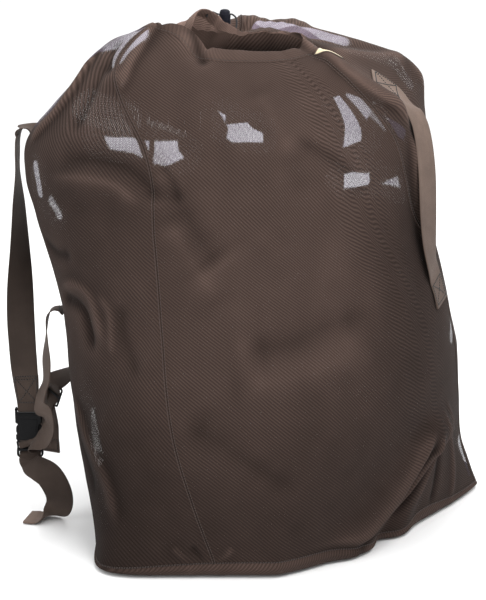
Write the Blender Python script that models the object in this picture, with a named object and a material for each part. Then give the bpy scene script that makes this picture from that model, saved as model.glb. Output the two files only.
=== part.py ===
"""Mesh decoy bag, filled and standing: a tall mesh sack with two webbing shoulder straps."""

import math
from collections import namedtuple

import bpy
import numpy as np
from mathutils import Matrix, Vector
from mathutils.bvhtree import BVHTree

# Driving sizes in metres
MM = 0.001
CLOTH = 1.5 * MM
HEM_CLOTH = 3.0 * MM
HEM_HEIGHT = 27 * MM
SEWN_GAP = 0.4 * MM
WEBBING_WIDTH = 50 * MM
WEBBING = 2.0 * MM
LABEL_CLOTH = 0.8 * MM

# How finely the walls are divided
PANEL_COLUMNS = {"front_panel": 27, "back_panel": 20, "left_panel": 20}
PANEL_ROWS = 24

# Belly sections from the bottom seam up. Reach is measured from the section's middle. The four columns
# after it say how square each corner is: 2 is round, more is squarer, 1 is a straight chamfer. Swing is
# how far the right side is turned towards the back.
Belly = namedtuple("Belly", "rise z x_mid y_mid left right front back sq_fl sq_fr sq_br sq_bl swing")
BELLY = (
    Belly(0.00, 0.030, 0.06, 0.03, 0.322, 0.400, 0.272, 0.165, 9.0, 1.12, 4.0, 2.6, 0.115),
    Belly(0.13, 0.130, 0.06, 0.03, 0.348, 0.360, 0.280, 0.200, 3.6, 1.35, 2.8, 2.3, 0.070),
    Belly(0.28, 0.270, 0.05, 0.02, 0.363, 0.348, 0.275, 0.220, 2.6, 1.70, 2.4, 2.2, 0.030),
    Belly(0.44, 0.430, 0.03, 0.02, 0.356, 0.342, 0.262, 0.215, 2.2, 1.90, 2.3, 2.1, 0.010),
    Belly(0.60, 0.590, 0.00, 0.02, 0.368, 0.332, 0.240, 0.195, 1.9, 2.00, 2.3, 1.9, 0.000),
)

# Three loops close the top. Turn runs from the left side over the front, from 0 to 1.
Station = namedtuple("Station", "turn x y z")
SHOULDER = (
    Station(0.000, -0.386, 0.030, 0.712),
    Station(0.075, -0.290, -0.110, 0.725),
    Station(0.145, -0.165, -0.180, 0.735),
    Station(0.230, -0.030, -0.203, 0.745),
    Station(0.335, 0.130, -0.190, 0.745),
    Station(0.425, 0.268, -0.100, 0.750),
    Station(0.480, 0.308, -0.015, 0.740),
    Station(0.530, 0.312, 0.070, 0.765),
    Station(0.600, 0.200, 0.140, 0.780),
    Station(0.730, 0.020, 0.160, 0.780),
    Station(0.930, -0.250, 0.120, 0.745),
)
CROWN = (
    Station(0.000, -0.248, 0.000, 0.876),
    Station(0.075, -0.225, -0.070, 0.866),
    Station(0.145, -0.165, -0.125, 0.850),
    Station(0.230, -0.030, -0.142, 0.832),
    Station(0.335, 0.090, -0.137, 0.836),
    Station(0.425, 0.195, -0.122, 0.832),
    Station(0.480, 0.242, -0.035, 0.830),
    Station(0.535, 0.276, 0.062, 0.864),
    Station(0.600, 0.150, 0.090, 0.897),
    Station(0.730, 0.030, 0.080, 0.918),
    Station(0.930, -0.170, 0.055, 0.888),
)
RIM = (
    Station(0.000, -0.158, -0.045, 0.914),
    Station(0.065, -0.120, -0.066, 0.926),
    Station(0.120, -0.085, -0.076, 0.917),
    Station(0.170, -0.060, -0.088, 0.893),
    Station(0.230, -0.030, -0.092, 0.887),
    Station(0.335, 0.050, -0.090, 0.883),
    Station(0.420, 0.090, -0.074, 0.890),
    Station(0.480, 0.096, -0.045, 0.902),
    Station(0.540, 0.078, -0.022, 0.906),
    Station(0.700, 0.010, -0.015, 0.910),
    Station(0.820, -0.035, -0.026, 0.930),
    Station(0.890, -0.068, -0.038, 0.946),
    Station(0.950, -0.110, -0.046, 0.926),
)
SHOULDER_RISE = 0.76
CROWN_RISE = 0.89

# The three long seams, as the turn that each follows on its way up. The front view hides the back seam.
SeamPoint = namedtuple("SeamPoint", "rise turn")
LEFT_SEAM = (
    SeamPoint(0.00, 0.1895),
    SeamPoint(0.13, 0.1746),
    SeamPoint(0.28, 0.1583),
    SeamPoint(0.44, 0.1544),
    SeamPoint(0.60, 0.1566),
    SeamPoint(0.76, 0.1480),
    SeamPoint(0.89, 0.1050),
    SeamPoint(1.00, 0.0400),
)
RIGHT_SEAM = (
    SeamPoint(0.00, 0.500),
    SeamPoint(0.44, 0.480),
    SeamPoint(0.76, 0.408),
    SeamPoint(0.89, 0.408),
    SeamPoint(1.00, 0.415),
)
BACK_SEAM = (
    SeamPoint(0.00, 0.830),
    SeamPoint(0.44, 0.815),
    SeamPoint(0.76, 0.790),
    SeamPoint(0.89, 0.770),
    SeamPoint(1.00, 0.745),
)

# Folds that show from a distance. Ends are given along the two axes of the side that they lie on.
# Height is how far a ridge stands out, and a valley's height is negative.
Fold = namedtuple("Fold", "side a0 b0 a1 b1 width height")
FOLDS = (
    Fold("front", 0.200, 0.030, 0.350, 0.200, 0.030, 0.016),
    Fold("front", 0.290, 0.040, 0.340, 0.220, 0.022, 0.012),
    Fold("front", 0.250, 0.030, 0.330, 0.160, 0.016, -0.012),
    Fold("front", -0.290, 0.260, -0.170, 0.420, 0.030, -0.010),
    Fold("left", 0.000, 0.780, 0.000, 0.830, 0.035, -0.012),
    Fold("top", 0.140, -0.100, 0.260, -0.110, 0.018, 0.008),
    Fold("top", 0.110, 0.010, 0.230, 0.040, 0.030, -0.012),
    Fold("top", -0.075, 0.012, 0.000, 0.014, 0.020, -0.022),
)
SIDES = {
    "front": ((0, -1, 0), (1, 0, 0), (0, 0, 1)),
    "right": ((1, 0, 0), (0, 1, 0), (0, 0, 1)),
    "back": ((0, 1, 0), (1, 0, 0), (0, 0, 1)),
    "left": ((-1, 0, 0), (0, 1, 0), (0, 0, 1)),
    "top": ((0, 0, 1), (1, 0, 0), (0, 1, 0)),
}


# The bottom, ring by ring from its middle to the bottom seam. Scale is measured from the section's middle,
# and height is a share of the seam's height.
Ring = namedtuple("Ring", "scale height")
BOTTOM_RINGS = (
    Ring(0.930, 0.00),
    Ring(0.985, 0.20),
    Ring(1.010, 0.60),
    Ring(1.000, 1.00),
)

# The buckle stands upright at this place. The socket's strap bar is at its top, the plug's at its foot.
BUCKLE_X = -0.3985
BUCKLE_Y = 0.0215
BUCKLE_WIDTH = 50 * MM
BAR_Z = 0.2130
BAR_RADIUS = 2.5 * MM
EAR = 4 * MM
SOCKET_TOP = 0.2030
SOCKET_DEPTH = 12 * MM
JOIN_Z = 0.1520
FIT = 0.3 * MM
PRONG_DEPTH = 6 * MM
PLUG_HEIGHT = 38 * MM
PLUG_DEPTH = 8 * MM
PLUG_BAR_Z = 0.1330
PLUG_BAR = 4 * MM
SOCKET_WALL = 4 * MM
WINDOW_WIDTH = 8 * MM
WINDOW_LOW = 12 * MM
WINDOW_HIGH = 34 * MM
PRONG_HEIGHT = 32 * MM
PRONG_PIECES = (
    # name, middle from the buckle's edge, width, start above the join, bevel
    ("prong", 9.5 * MM, 5 * MM, -3 * MM, 0),
    ("catch", 5.5 * MM, 7 * MM, 14 * MM, 1 * MM),
)

# The slider looks this way: heading from +X, tilt up from level, lean of its upper end to its side
SLIDER_AT = (-0.3490, 0.0400, 0.2320)
SLIDER_HEADING = 222
SLIDER_TILT = 15
SLIDER_LEAN = 12
SLIDER_WIDTH = 58 * MM
SLIDER_HEIGHT = 38 * MM
SLIDER_THICK = 3.0 * MM
SLIDER_EDGE = 4 * MM
SLIDER_BAR = 3.5 * MM

# The cord lock stands in the dip behind the mouth, and the cord leaves the hem on both sides of it
LOCK_AT = (-0.0310, 0.0100, 0.9290)
LOCK_RADIUS = 10 * MM
LOCK_HEIGHT = 30 * MM
CORD = 3 * MM
CORD_Z = 6 * MM
CORD_POINTS = 19
Spot = namedtuple("Spot", "x y z")
CORD_ROUTE = (
    Spot(-0.0613, -0.0140, 0.9328),
    Spot(-0.0603, -0.0109, 0.9365),
    Spot(-0.0565, -0.0020, 0.9395),
    Spot(-0.0500, 0.0070, 0.9385),
    Spot(-0.0440, 0.0100, 0.9355),
    Spot(-0.0380, 0.0100, 0.9350),
    Spot(-0.0240, 0.0100, 0.9350),
    Spot(-0.0180, 0.0100, 0.9345),
    Spot(-0.0120, 0.0092, 0.9290),
    Spot(-0.0108, 0.0068, 0.9200),
    Spot(-0.0119, 0.0044, 0.9130),
    Spot(-0.0129, 0.0025, 0.9093),
)

# Straps follow rows that lie on the bag or hang free. Lift is the gap under a row on the bag. Heading and
# tilt say where the strap's face looks, in degrees from +X and up from level.
OnBag = namedtuple("OnBag", "turn rise lift width")
Free = namedtuple("Free", "x y z heading tilt width")
FULL = WEBBING_WIDTH
CLEAR = 1.5 * MM
LABEL_CLEAR = 2.4 * MM
SEWN = CLEAR + WEBBING / 2
WRAP = BAR_RADIUS + 2 * SEWN_GAP + WEBBING / 2

# How a strap passes a piece of hardware: up along the piece and out from its middle plane
Pass = namedtuple("Pass", "up out")
PLUG_PASSES = (
    Pass(20.0 * MM, 9.2 * MM),
    Pass(15.5 * MM, 7.2 * MM),
    Pass(12.0 * MM, 3.4 * MM),
    Pass(8.5 * MM, 0.0 * MM),
    Pass(5.0 * MM, -3.4 * MM),
    Pass(1.5 * MM, -6.8 * MM),
    Pass(-1.5 * MM, -6.8 * MM),
    Pass(-5.0 * MM, -3.4 * MM),
    Pass(-8.5 * MM, 0.0 * MM),
    Pass(-12.0 * MM, 3.4 * MM),
    Pass(-15.5 * MM, 7.2 * MM),
    Pass(-20.0 * MM, 9.2 * MM),
)
SLIDER_PASSES = (
    Pass(21.0 * MM, 3.6 * MM),
    Pass(15.5 * MM, 3.6 * MM),
    Pass(8.4 * MM, 0.0 * MM),
    Pass(1.3 * MM, -3.6 * MM),
    Pass(-1.3 * MM, -3.6 * MM),
    Pass(-8.4 * MM, 0.0 * MM),
    Pass(-15.5 * MM, 3.6 * MM),
    Pass(-21.0 * MM, 3.6 * MM),
)


def look_axes(heading, tilt, lean):
    """Side, face and up of a flat thing that looks this way."""
    heading, tilt, lean = (math.radians(v) for v in (heading, tilt, lean))
    side = np.array([-math.sin(heading), math.cos(heading), 0])
    level = math.cos(tilt)
    face = np.array([level * math.cos(heading), level * math.sin(heading), math.sin(tilt)])
    up = np.cross(face, side)
    return side * math.cos(lean) - up * math.sin(lean), face, up * math.cos(lean) + side * math.sin(lean)


def threaded(place, heading, tilt, lean, passes, width):
    """Strap rows that weave through a piece of hardware."""
    side, face, up = look_axes(heading, tilt, lean)
    spots = [np.array(place) + up * step.up + face * step.out for step in passes]
    return tuple(Free(*spot, heading, tilt, width) for spot in spots)


def round_bar(place, width):
    """Strap rows that go down in front of a bar, round under it and up behind it."""
    x, y, z = place
    rows = [Free(x, y - WRAP, z + 3 * MM, -90, 0, width)]
    for angle in (0, 45, 90, 135, 180):
        a = math.radians(angle)
        heading, tilt = (-90, -angle) if angle <= 90 else (90, angle - 180)
        rows.append(Free(x, y - WRAP * math.cos(a), z - WRAP * math.sin(a), heading, tilt, width))
    rows.append(Free(x, y + WRAP, z + 3 * MM, 90, 0, width))
    return tuple(rows)


RIGHT_STRAP = (
    OnBag(0.462, 0.918, SEWN, FULL),
    OnBag(0.464, 0.895, SEWN, FULL),
    OnBag(0.466, 0.870, SEWN, FULL),
    OnBag(0.466, 0.842, SEWN, FULL),
    OnBag(0.461, 0.812, SEWN, FULL),
    OnBag(0.454, 0.775, 0.006, FULL),
    OnBag(0.448, 0.735, 0.013, FULL),
    OnBag(0.446, 0.680, 0.017, FULL),
    OnBag(0.447, 0.620, 0.017, FULL),
    OnBag(0.448, 0.570, 0.013, FULL),
    OnBag(0.449, 0.530, 0.006, FULL),
    OnBag(0.453, 0.505, SEWN, FULL),
    OnBag(0.455, 0.480, SEWN, FULL),
    OnBag(0.456, 0.452, SEWN, FULL),
)
LEFT_STRAP = (
    OnBag(0.985, 0.715, SEWN, FULL),
    OnBag(0.985, 0.745, SEWN, FULL),
    OnBag(0.985, 0.770, SEWN, FULL),
    Free(-0.3880, 0.048, 0.7480, 0, -90, FULL),
    Free(-0.3990, 0.047, 0.7300, 0, -10, FULL),
    Free(-0.4010, 0.045, 0.7000, 0, 0, FULL),
    Free(-0.4020, 0.041, 0.6550, 0, 0, FULL),
    Free(-0.4020, 0.038, 0.6000, -16, 0, FULL),
    Free(-0.4020, 0.034, 0.5550, -26, 0, FULL),
    Free(-0.4025, 0.030, 0.5100, -38, 0, FULL),
    Free(-0.4035, 0.027, 0.4700, -52, 0, FULL),
    Free(-0.4045, 0.024, 0.4300, -66, 0, FULL),
    Free(-0.4050, 0.022, 0.3850, -78, 0, FULL),
    Free(-0.4040, 0.020, 0.3400, -90, 0, FULL),
    Free(-0.4025, 0.019, 0.3000, -94, 0, FULL),
    Free(-0.4000, 0.018, 0.2620, -92, 0, 0.046),
    Free(BUCKLE_X, 0.0170, 0.2350, -90, 0, 0.041),
    *round_bar((BUCKLE_X, BUCKLE_Y, BAR_Z), 0.038),
    Free(BUCKLE_X, 0.0212, 0.2350, 90, 0, 0.041),
    Free(-0.4000, 0.0214, 0.2620, 88, 0, 0.046),
    Free(-0.4010, 0.0222, 0.2800, 87, 0, 0.048),
)
LOWER_STRAP = (
    Free(-0.3245, 0.020, 0.4030, 90, 90, FULL),
    Free(-0.3340, 0.020, 0.4080, 120, 85, FULL),
    Free(-0.3460, 0.018, 0.4070, 170, 60, FULL),
    Free(-0.3550, 0.013, 0.3930, 180, 12, FULL),
    Free(-0.3570, 0.005, 0.3540, 192, 0, FULL),
    Free(-0.3580, -0.001, 0.3160, 204, 0, FULL),
    Free(-0.3590, -0.006, 0.2800, 200, 0, FULL),
    Free(-0.3610, -0.010, 0.2620, 222, 0, FULL),
    Free(-0.3650, -0.014, 0.2430, 214, 0, FULL),
    Free(-0.3640, -0.018, 0.2240, 226, 0, FULL),
    Free(-0.3600, -0.022, 0.2050, 216, 0, FULL),
    Free(-0.3600, -0.022, 0.1860, 224, 0, FULL),
    Free(-0.3690, -0.017, 0.1700, 244, 0, 0.046),
    Free(-0.3860, -0.003, 0.1600, 262, 0, 0.042),
    *threaded((BUCKLE_X, BUCKLE_Y, PLUG_BAR_Z), 270, 0, 0, PLUG_PASSES, 0.040),
    Free(-0.3920, 0.0020, 0.1085, 270, 20, 0.043),
    Free(-0.3780, -0.008, 0.1050, 270, 25, 0.046),
    Free(-0.3600, -0.016, 0.0960, 272, 12, FULL),
    Free(-0.3470, -0.020, 0.0760, 274, 4, FULL),
    Free(-0.3410, -0.020, 0.0540, 270, -6, FULL),
    Free(-0.3440, -0.016, 0.0330, 264, -24, FULL),
    Free(-0.3560, -0.008, 0.0150, 250, -58, FULL),
    Free(-0.3800, -0.002, 0.0040, 180, -90, FULL),
    Free(-0.4060, 0.004, 0.0018, 180, -90, FULL),
)
ANCHOR_STRAP = (
    OnBag(0.985, 0.335, SEWN, FULL),
    OnBag(0.985, 0.305, SEWN, FULL),
    Free(-0.3270, 0.0480, 0.2740, 208, 25, FULL),
    *threaded(SLIDER_AT, SLIDER_HEADING, SLIDER_TILT, SLIDER_LEAN, SLIDER_PASSES, 0.048),
    Free(-0.3600, 0.0385, 0.1880, 228, 4, FULL),
    Free(-0.3610, 0.0380, 0.1640, 232, 0, 0.047),
    Free(-0.3615, 0.0370, 0.1380, 238, 0, 0.045),
)


def spline_weights(keys, at):
    """For each place, the weights that make a smooth curve of the values at the keys."""
    keys = np.asarray(keys, float)
    at = np.clip(np.asarray(at, float), keys[0], keys[-1])
    count = len(keys)
    slopes = np.zeros((count, count))
    for k in range(count):
        before, after = max(k - 1, 0), min(k + 1, count - 1)
        slopes[k, after] += 1 / (keys[after] - keys[before])
        slopes[k, before] -= 1 / (keys[after] - keys[before])
    left = np.clip(np.searchsorted(keys, at, side="right") - 1, 0, count - 2)
    span = keys[left + 1] - keys[left]
    t = (at - keys[left]) / span
    unit = np.eye(count)
    basis = (
        2 * t**3 - 3 * t**2 + 1,
        (t**3 - 2 * t**2 + t) * span,
        3 * t**2 - 2 * t**3,
        (t**3 - t**2) * span,
    )
    rows = (unit[left], slopes[left], unit[left + 1], slopes[left + 1])
    return sum(b[:, None] * row for b, row in zip(basis, rows))


def open_curve(keys, values, at):
    return spline_weights(keys, np.ravel(at)) @ np.asarray(values, float)


def belly_points(row, turn):
    """Points of one belly section, a rounded square whose quarters each have their own squareness."""
    angle = math.pi + 2 * math.pi * turn
    c, s = np.cos(angle), np.sin(angle)
    front, right = s < 0, c >= 0
    square = np.where(
        front, np.where(right, row.sq_fr, row.sq_fl), np.where(right, row.sq_br, row.sq_bl)
    )
    across = np.abs(c) / np.where(right, row.right, row.left)
    deep = np.abs(s) / np.where(front, row.front, row.back)
    reach = (across**square + deep**square) ** (-1 / square)
    x, y = row.x_mid + reach * c, row.y_mid + reach * s
    y = y + row.swing * (np.clip(x - row.x_mid, 0, None) / row.right) ** 2
    return np.stack([x, y, np.full_like(x, row.z)], axis=-1)


def loop_points(stations, turn):
    """Points of a closed smooth loop through its stations."""
    keys = np.array([s.turn for s in stations])
    values = np.array([(s.x, s.y, s.z) for s in stations])
    keys = np.concatenate([keys - 1, keys, keys + 1])
    return open_curve(keys, np.tile(values, (3, 1)), np.mod(turn, 1)).reshape(turn.shape + (3,))


def plain_surface(turn, rise):
    """The bag's outer face without its folds, for arrays of turn and rise of one shape."""
    loops = [belly_points(row, turn) for row in BELLY]
    loops += [loop_points(stations, turn) for stations in (SHOULDER, CROWN, RIM)]
    rises = [row.rise for row in BELLY] + [SHOULDER_RISE, CROWN_RISE, 1.0]
    weights = spline_weights(rises, rise.ravel()).reshape(rise.shape + (len(rises),))
    return sum(weights[..., k, None] * loop for k, loop in enumerate(loops))


def normals_of(surface, turn, rise, step=1e-3):
    low, high = np.clip(rise - step, 0, 1), np.clip(rise + step, 0, 1)
    along = surface(turn + step, rise) - surface(turn - step, rise)
    up = surface(turn, high) - surface(turn, low)
    normal = np.cross(along, up)
    return normal / np.linalg.norm(normal, axis=-1, keepdims=True)


def fold_height(points, normal):
    """How far the folds push each point out."""
    total = np.zeros(points.shape[:-1])
    for fold in FOLDS:
        facing, first, second = (np.array(v, float) for v in SIDES[fold.side])
        flat = np.stack([points @ first, points @ second], axis=-1)
        start = np.array([fold.a0, fold.b0])
        run = np.array([fold.a1, fold.b1]) - start
        along = np.clip(((flat - start) @ run) / (run @ run), 0, 1)
        away = np.linalg.norm(flat - start - along[..., None] * run, axis=-1)
        seen = np.clip(2 * (normal @ facing), 0, 1)
        total += fold.height * np.exp(-((away / fold.width) ** 2)) * seen
    return total


def bag_surface(turn, rise):
    plain = plain_surface(turn, rise)
    normal = normals_of(plain_surface, turn, rise)
    return plain + normal * fold_height(plain, normal)[..., None]


def mesh_object(name, points, faces, material, smooth=True):
    mesh = bpy.data.meshes.new(name)
    mesh.from_pydata([tuple(p) for p in np.asarray(points, float)], [], faces)
    mesh.validate()
    if smooth:
        mesh.shade_smooth()
        mesh.set_sharp_from_angle(angle=math.radians(40))
    mesh.materials.append(material)
    obj = bpy.data.objects.new(name, mesh)
    bpy.context.collection.objects.link(obj)
    return obj


def sheet_faces(rows, columns, closed, capped=False):
    """Quads of an outer and an inner grid, rows by columns, joined along their free edges. A capped sheet
    is filled across its first row instead."""
    inner = rows * columns
    spans = columns if closed else columns - 1
    faces = []
    for r in range(rows - 1):
        for c in range(spans):
            a, b = r * columns + c, r * columns + (c + 1) % columns
            faces.append((a, b, b + columns, a + columns))
            faces.append((inner + a, inner + a + columns, inner + b + columns, inner + b))
    top = (rows - 1) * columns
    for c in range(spans):
        a, b = c, (c + 1) % columns
        faces.append((top + a, top + b, inner + top + b, inner + top + a))
        if not capped:
            faces.append((a, inner + a, inner + b, b))
    if capped:
        faces.append(tuple(range(columns))[::-1])
        faces.append(tuple(range(inner, inner + columns)))
    if not closed:
        last = columns - 1
        for r in range(rows - 1):
            a = r * columns
            faces.append((a, a + columns, inner + a + columns, inner + a))
            faces.append((a + last, inner + a + last, inner + a + last + columns, a + last + columns))
    return faces


def cloth(name, turn, rise, out, thick, material, closed=False, foot=None):
    """A sheet that follows the bag's surface: its outer face stands out by out, its inner face lies thick
    below. With a foot, its first row is levelled at that height."""
    surface = bag_surface(turn, rise)
    normal = normals_of(bag_surface, turn, rise)
    outer = surface + normal * out
    inner = outer - normal * thick
    if foot is not None:
        outer[0, :, 2] = foot
        inner[0, :, 2] = foot
    points = np.concatenate([outer.reshape(-1, 3), inner.reshape(-1, 3)])
    return mesh_object(name, points, sheet_faces(turn.shape[0], turn.shape[1], closed), material)


def below_rim(turn, depth):
    """The rise that lies this far below the rim."""
    reach = np.linalg.norm(loop_points(RIM, turn) - loop_points(CROWN, turn), axis=-1)
    return 1 - (1 - CROWN_RISE) * depth / reach


def seam_turn(seam, rise):
    return open_curve([p.rise for p in seam], [p.turn for p in seam], rise)


def seam_inset(turn, rise, step=1e-3):
    """Half the sewn gap, as a turn."""
    run = np.linalg.norm(bag_surface(turn + step, rise) - bag_surface(turn - step, rise), axis=-1)
    return SEWN_GAP * step / run


def panel_grid(name, seams):
    """Turn and rise of one wall's grid, from the bottom seam to the hem and from seam to seam."""
    left_turn, right_turn = seams
    across = np.linspace(0, 1, PANEL_COLUMNS[name])
    rows = np.linspace(0, 1, PANEL_ROWS)
    top_turn = left_turn(1) + (right_turn(1) - left_turn(1)) * across
    rise = rows[:, None] * below_rim(top_turn, HEM_HEIGHT + SEWN_GAP)
    left, right = left_turn(rise[:, 0]), right_turn(rise[:, -1])
    left, right = left + seam_inset(left, rise[:, 0]), right - seam_inset(right, rise[:, -1])
    return left[:, None] + (right - left)[:, None] * across, rise


PANEL_SEAMS = {
    "front_panel": (lambda v: seam_turn(LEFT_SEAM, v), lambda v: seam_turn(RIGHT_SEAM, v)),
    "back_panel": (lambda v: seam_turn(RIGHT_SEAM, v), lambda v: seam_turn(BACK_SEAM, v)),
    "left_panel": (lambda v: seam_turn(BACK_SEAM, v), lambda v: seam_turn(LEFT_SEAM, v) + 1),
}


def walls(material):
    made = []
    for name, seams in PANEL_SEAMS.items():
        turn, rise = panel_grid(name, seams)
        made.append(cloth(name, turn, rise, 0, CLOTH, material, foot=BELLY[0].z))
    return made


def wall_edge(row):
    """Turn and rise of the walls' columns along one of their rows, once round the bag."""
    grids = [panel_grid(name, seams) for name, seams in PANEL_SEAMS.items()]
    return (np.concatenate([grid[k][row] for grid in grids]) for k in (0, 1))


def hem(material):
    turn, wall_top = wall_edge(-1)
    foot = wall_top + 1 - below_rim(turn, 2 * SEWN_GAP)
    turn = np.tile(turn, (3, 1))
    rise = foot + np.array([0, 0.5, 1])[:, None] * (1 - foot)
    return cloth("mouth_hem", turn, rise, (HEM_CLOTH - CLOTH) / 2, HEM_CLOTH, material, closed=True)


def bottom(material):
    """A shallow dish under the bottom seam, flat where it stands."""
    turn, rise = wall_edge(0)
    edge = bag_surface(turn, rise)
    lining = edge - normals_of(bag_surface, turn, rise) * CLOTH
    middle = np.array([BELLY[0].x_mid, BELLY[0].y_mid, 0])
    outer, inner = [], []
    for ring in BOTTOM_RINGS:
        for grid, rim, lift in ((outer, edge, 0), (inner, lining, CLOTH * (1 - ring.height))):
            placed = middle + (rim - middle) * ring.scale
            placed[:, 2] = (BELLY[0].z - SEWN_GAP) * ring.height + lift
            grid.append(placed)
    faces = sheet_faces(len(BOTTOM_RINGS), len(turn), closed=True, capped=True)
    mesh_object("bottom_panel", np.concatenate(outer + inner), faces, material)


def cloth_tree(objects):
    """A search tree over the faces of these objects."""
    points, faces = [], []
    for obj in objects:
        start = len(points)
        obj.data.calc_loop_triangles()
        points += [tuple(v.co) for v in obj.data.vertices]
        faces += [tuple(start + v for v in face.vertices) for face in obj.data.loop_triangles]
    return BVHTree.FromPolygons(points, faces)


def laid_on(tree, points, facing, gap):
    """The points, moved out along their facing as far as it takes to stand this far off the cloth."""
    reach = 40 * MM
    out = np.zeros(points.shape[:-1])
    for spot in np.ndindex(out.shape):
        start = Vector(points[spot] + facing[spot] * reach)
        distance = tree.ray_cast(start, Vector(-facing[spot]), 2 * reach)[3]
        if distance is not None:
            out[spot] = max(0, gap + reach - distance)
    return points + facing * out[..., None]


def strap_rows(rows):
    """Each row's middle, the way its face looks and its width."""
    middles, faces = [], []
    for row in rows:
        if isinstance(row, OnBag):
            turn, rise = np.array([row.turn]), np.array([row.rise])
            normal = normals_of(bag_surface, turn, rise)
            middles.append((bag_surface(turn, rise) + normal * row.lift)[0])
            faces.append(normal[0])
        else:
            faces.append(look_axes(row.heading, row.tilt, 0)[1])
            middles.append((row.x, row.y, row.z))
    return np.array(middles), np.array(faces), np.array([row.width for row in rows])


def unit(vectors):
    return vectors / np.linalg.norm(vectors, axis=-1, keepdims=True)


def webbing(name, rows, columns, under, material):
    """A flat strap swept through its rows. Rows on the bag follow the cloth under them."""
    middles, faces, widths = strap_rows(rows)
    keys = np.arange(len(rows))
    at = np.linspace(0, keys[-1], 2 * keys[-1] + 1)
    middle, width = open_curve(keys, middles, at), open_curve(keys, widths, at)
    ahead = unit(np.gradient(middle, axis=0))
    across = unit(np.cross(ahead, open_curve(keys, faces, at)))
    spread = np.linspace(-0.5, 0.5, columns)
    shape = (len(at), columns, 3)
    face = np.broadcast_to(np.cross(across, ahead)[:, None], shape)
    inner = middle[:, None] + across[:, None] * (spread * width[:, None])[..., None] - face * WEBBING / 2
    sewn = at <= max((k for k in keys if isinstance(rows[k], OnBag)), default=-1)
    if sewn.any():
        inner[sewn] = laid_on(under, inner[sewn], face[sewn], CLEAR)
    points = np.concatenate([(inner + face * WEBBING).reshape(-1, 3), inner.reshape(-1, 3)])
    return mesh_object(name, points, sheet_faces(len(at), columns, closed=False), material)


def label(under, material):
    """The bare label, sewn on behind the right fold of the mouth."""
    turn, rise = np.meshgrid(np.linspace(0.430, 0.510, 6), np.linspace(0.940, 0.974, 5))
    normal = normals_of(bag_surface, turn, rise)
    inner = laid_on(under, bag_surface(turn, rise), normal, LABEL_CLEAR)
    points = np.concatenate([(inner + normal * LABEL_CLOTH).reshape(-1, 3), inner.reshape(-1, 3)])
    mesh_object("side_label", points, sheet_faces(turn.shape[0], turn.shape[1], closed=False), material)


def box_mesh(name, low, high, bevel=0.0):
    """An upright box between two corners, its edges rounded by a Bevel."""
    low, high = np.array(low, float), np.array(high, float)
    picks = [(i, j, k) for i in (0, 1) for j in (0, 1) for k in (0, 1)]
    points = [tuple(np.where(pick, high, low)) for pick in picks]
    faces = [(0, 1, 3, 2), (4, 6, 7, 5), (0, 4, 5, 1), (2, 3, 7, 6), (0, 2, 6, 4), (1, 5, 7, 3)]
    mesh = bpy.data.meshes.new(name)
    mesh.from_pydata(points, [], faces)
    obj = bpy.data.objects.new(name, mesh)
    bpy.context.collection.objects.link(obj)
    if bevel:
        rounding = obj.modifiers.new("rounded_edges", "BEVEL")
        rounding.width = bevel
        rounding.segments = 2
        rounding.limit_method = "ANGLE"
    return obj


def rod_mesh(name, middle, radius, length, sides=12):
    """A round rod that lies along X."""
    bpy.ops.mesh.primitive_cylinder_add(vertices=sides, radius=radius, depth=length, location=middle)
    obj = bpy.context.object
    obj.name = name
    obj.rotation_euler = (0, math.pi / 2, 0)
    return obj


def as_helper(obj):
    obj.hide_render = True
    obj.display_type = "WIRE"
    return obj


def boolean(obj, other, operation):
    as_helper(other)
    step = obj.modifiers.new(operation.lower(), "BOOLEAN")
    step.operation = operation
    step.object = other
    step.solver = "EXACT"
    return obj


def finish_hard(obj, material):
    obj.data.materials.clear()
    obj.data.materials.append(material)
    obj.data.shade_smooth()
    obj.data.set_sharp_from_angle(angle=math.radians(35))
    return obj


def buckle_socket(material):
    """The buckle's upper half: a hollow body with side windows, and a strap bar between two ears."""
    x, y = BUCKLE_X, BUCKLE_Y
    half, depth = BUCKLE_WIDTH / 2, SOCKET_DEPTH / 2
    low, high = (x - half, y - depth, JOIN_Z + FIT), (x + half, y + depth, SOCKET_TOP)
    socket = box_mesh("buckle_socket", low, high, 2 * MM)
    for side in (-1, 1):
        ear_x = x + side * (half - EAR / 2)
        low = (ear_x - EAR / 2, y - EAR, SOCKET_TOP - EAR)
        high = (ear_x + EAR / 2, y + EAR, BAR_Z + EAR)
        boolean(socket, box_mesh("socket_ear", low, high), "UNION")
    boolean(socket, rod_mesh("strap_bar", (x, y, BAR_Z), BAR_RADIUS, BUCKLE_WIDTH - EAR), "UNION")
    inside, room = half - SOCKET_WALL, PRONG_DEPTH / 2 + FIT
    low = (x - inside, y - room, JOIN_Z - MM)
    high = (x + inside, y + room, SOCKET_TOP - 2 * SOCKET_WALL)
    boolean(socket, box_mesh("socket_hollow", low, high), "DIFFERENCE")
    for side in (-1, 1):
        window_x = x + side * (half - 2 * MM)
        low = (window_x - WINDOW_WIDTH / 2, y - depth - MM, JOIN_Z + WINDOW_LOW)
        high = (window_x + WINDOW_WIDTH / 2, y + depth + MM, JOIN_Z + WINDOW_HIGH)
        boolean(socket, box_mesh("side_window", low, high, 1.5 * MM), "DIFFERENCE")
    finish_hard(socket, material)


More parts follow.
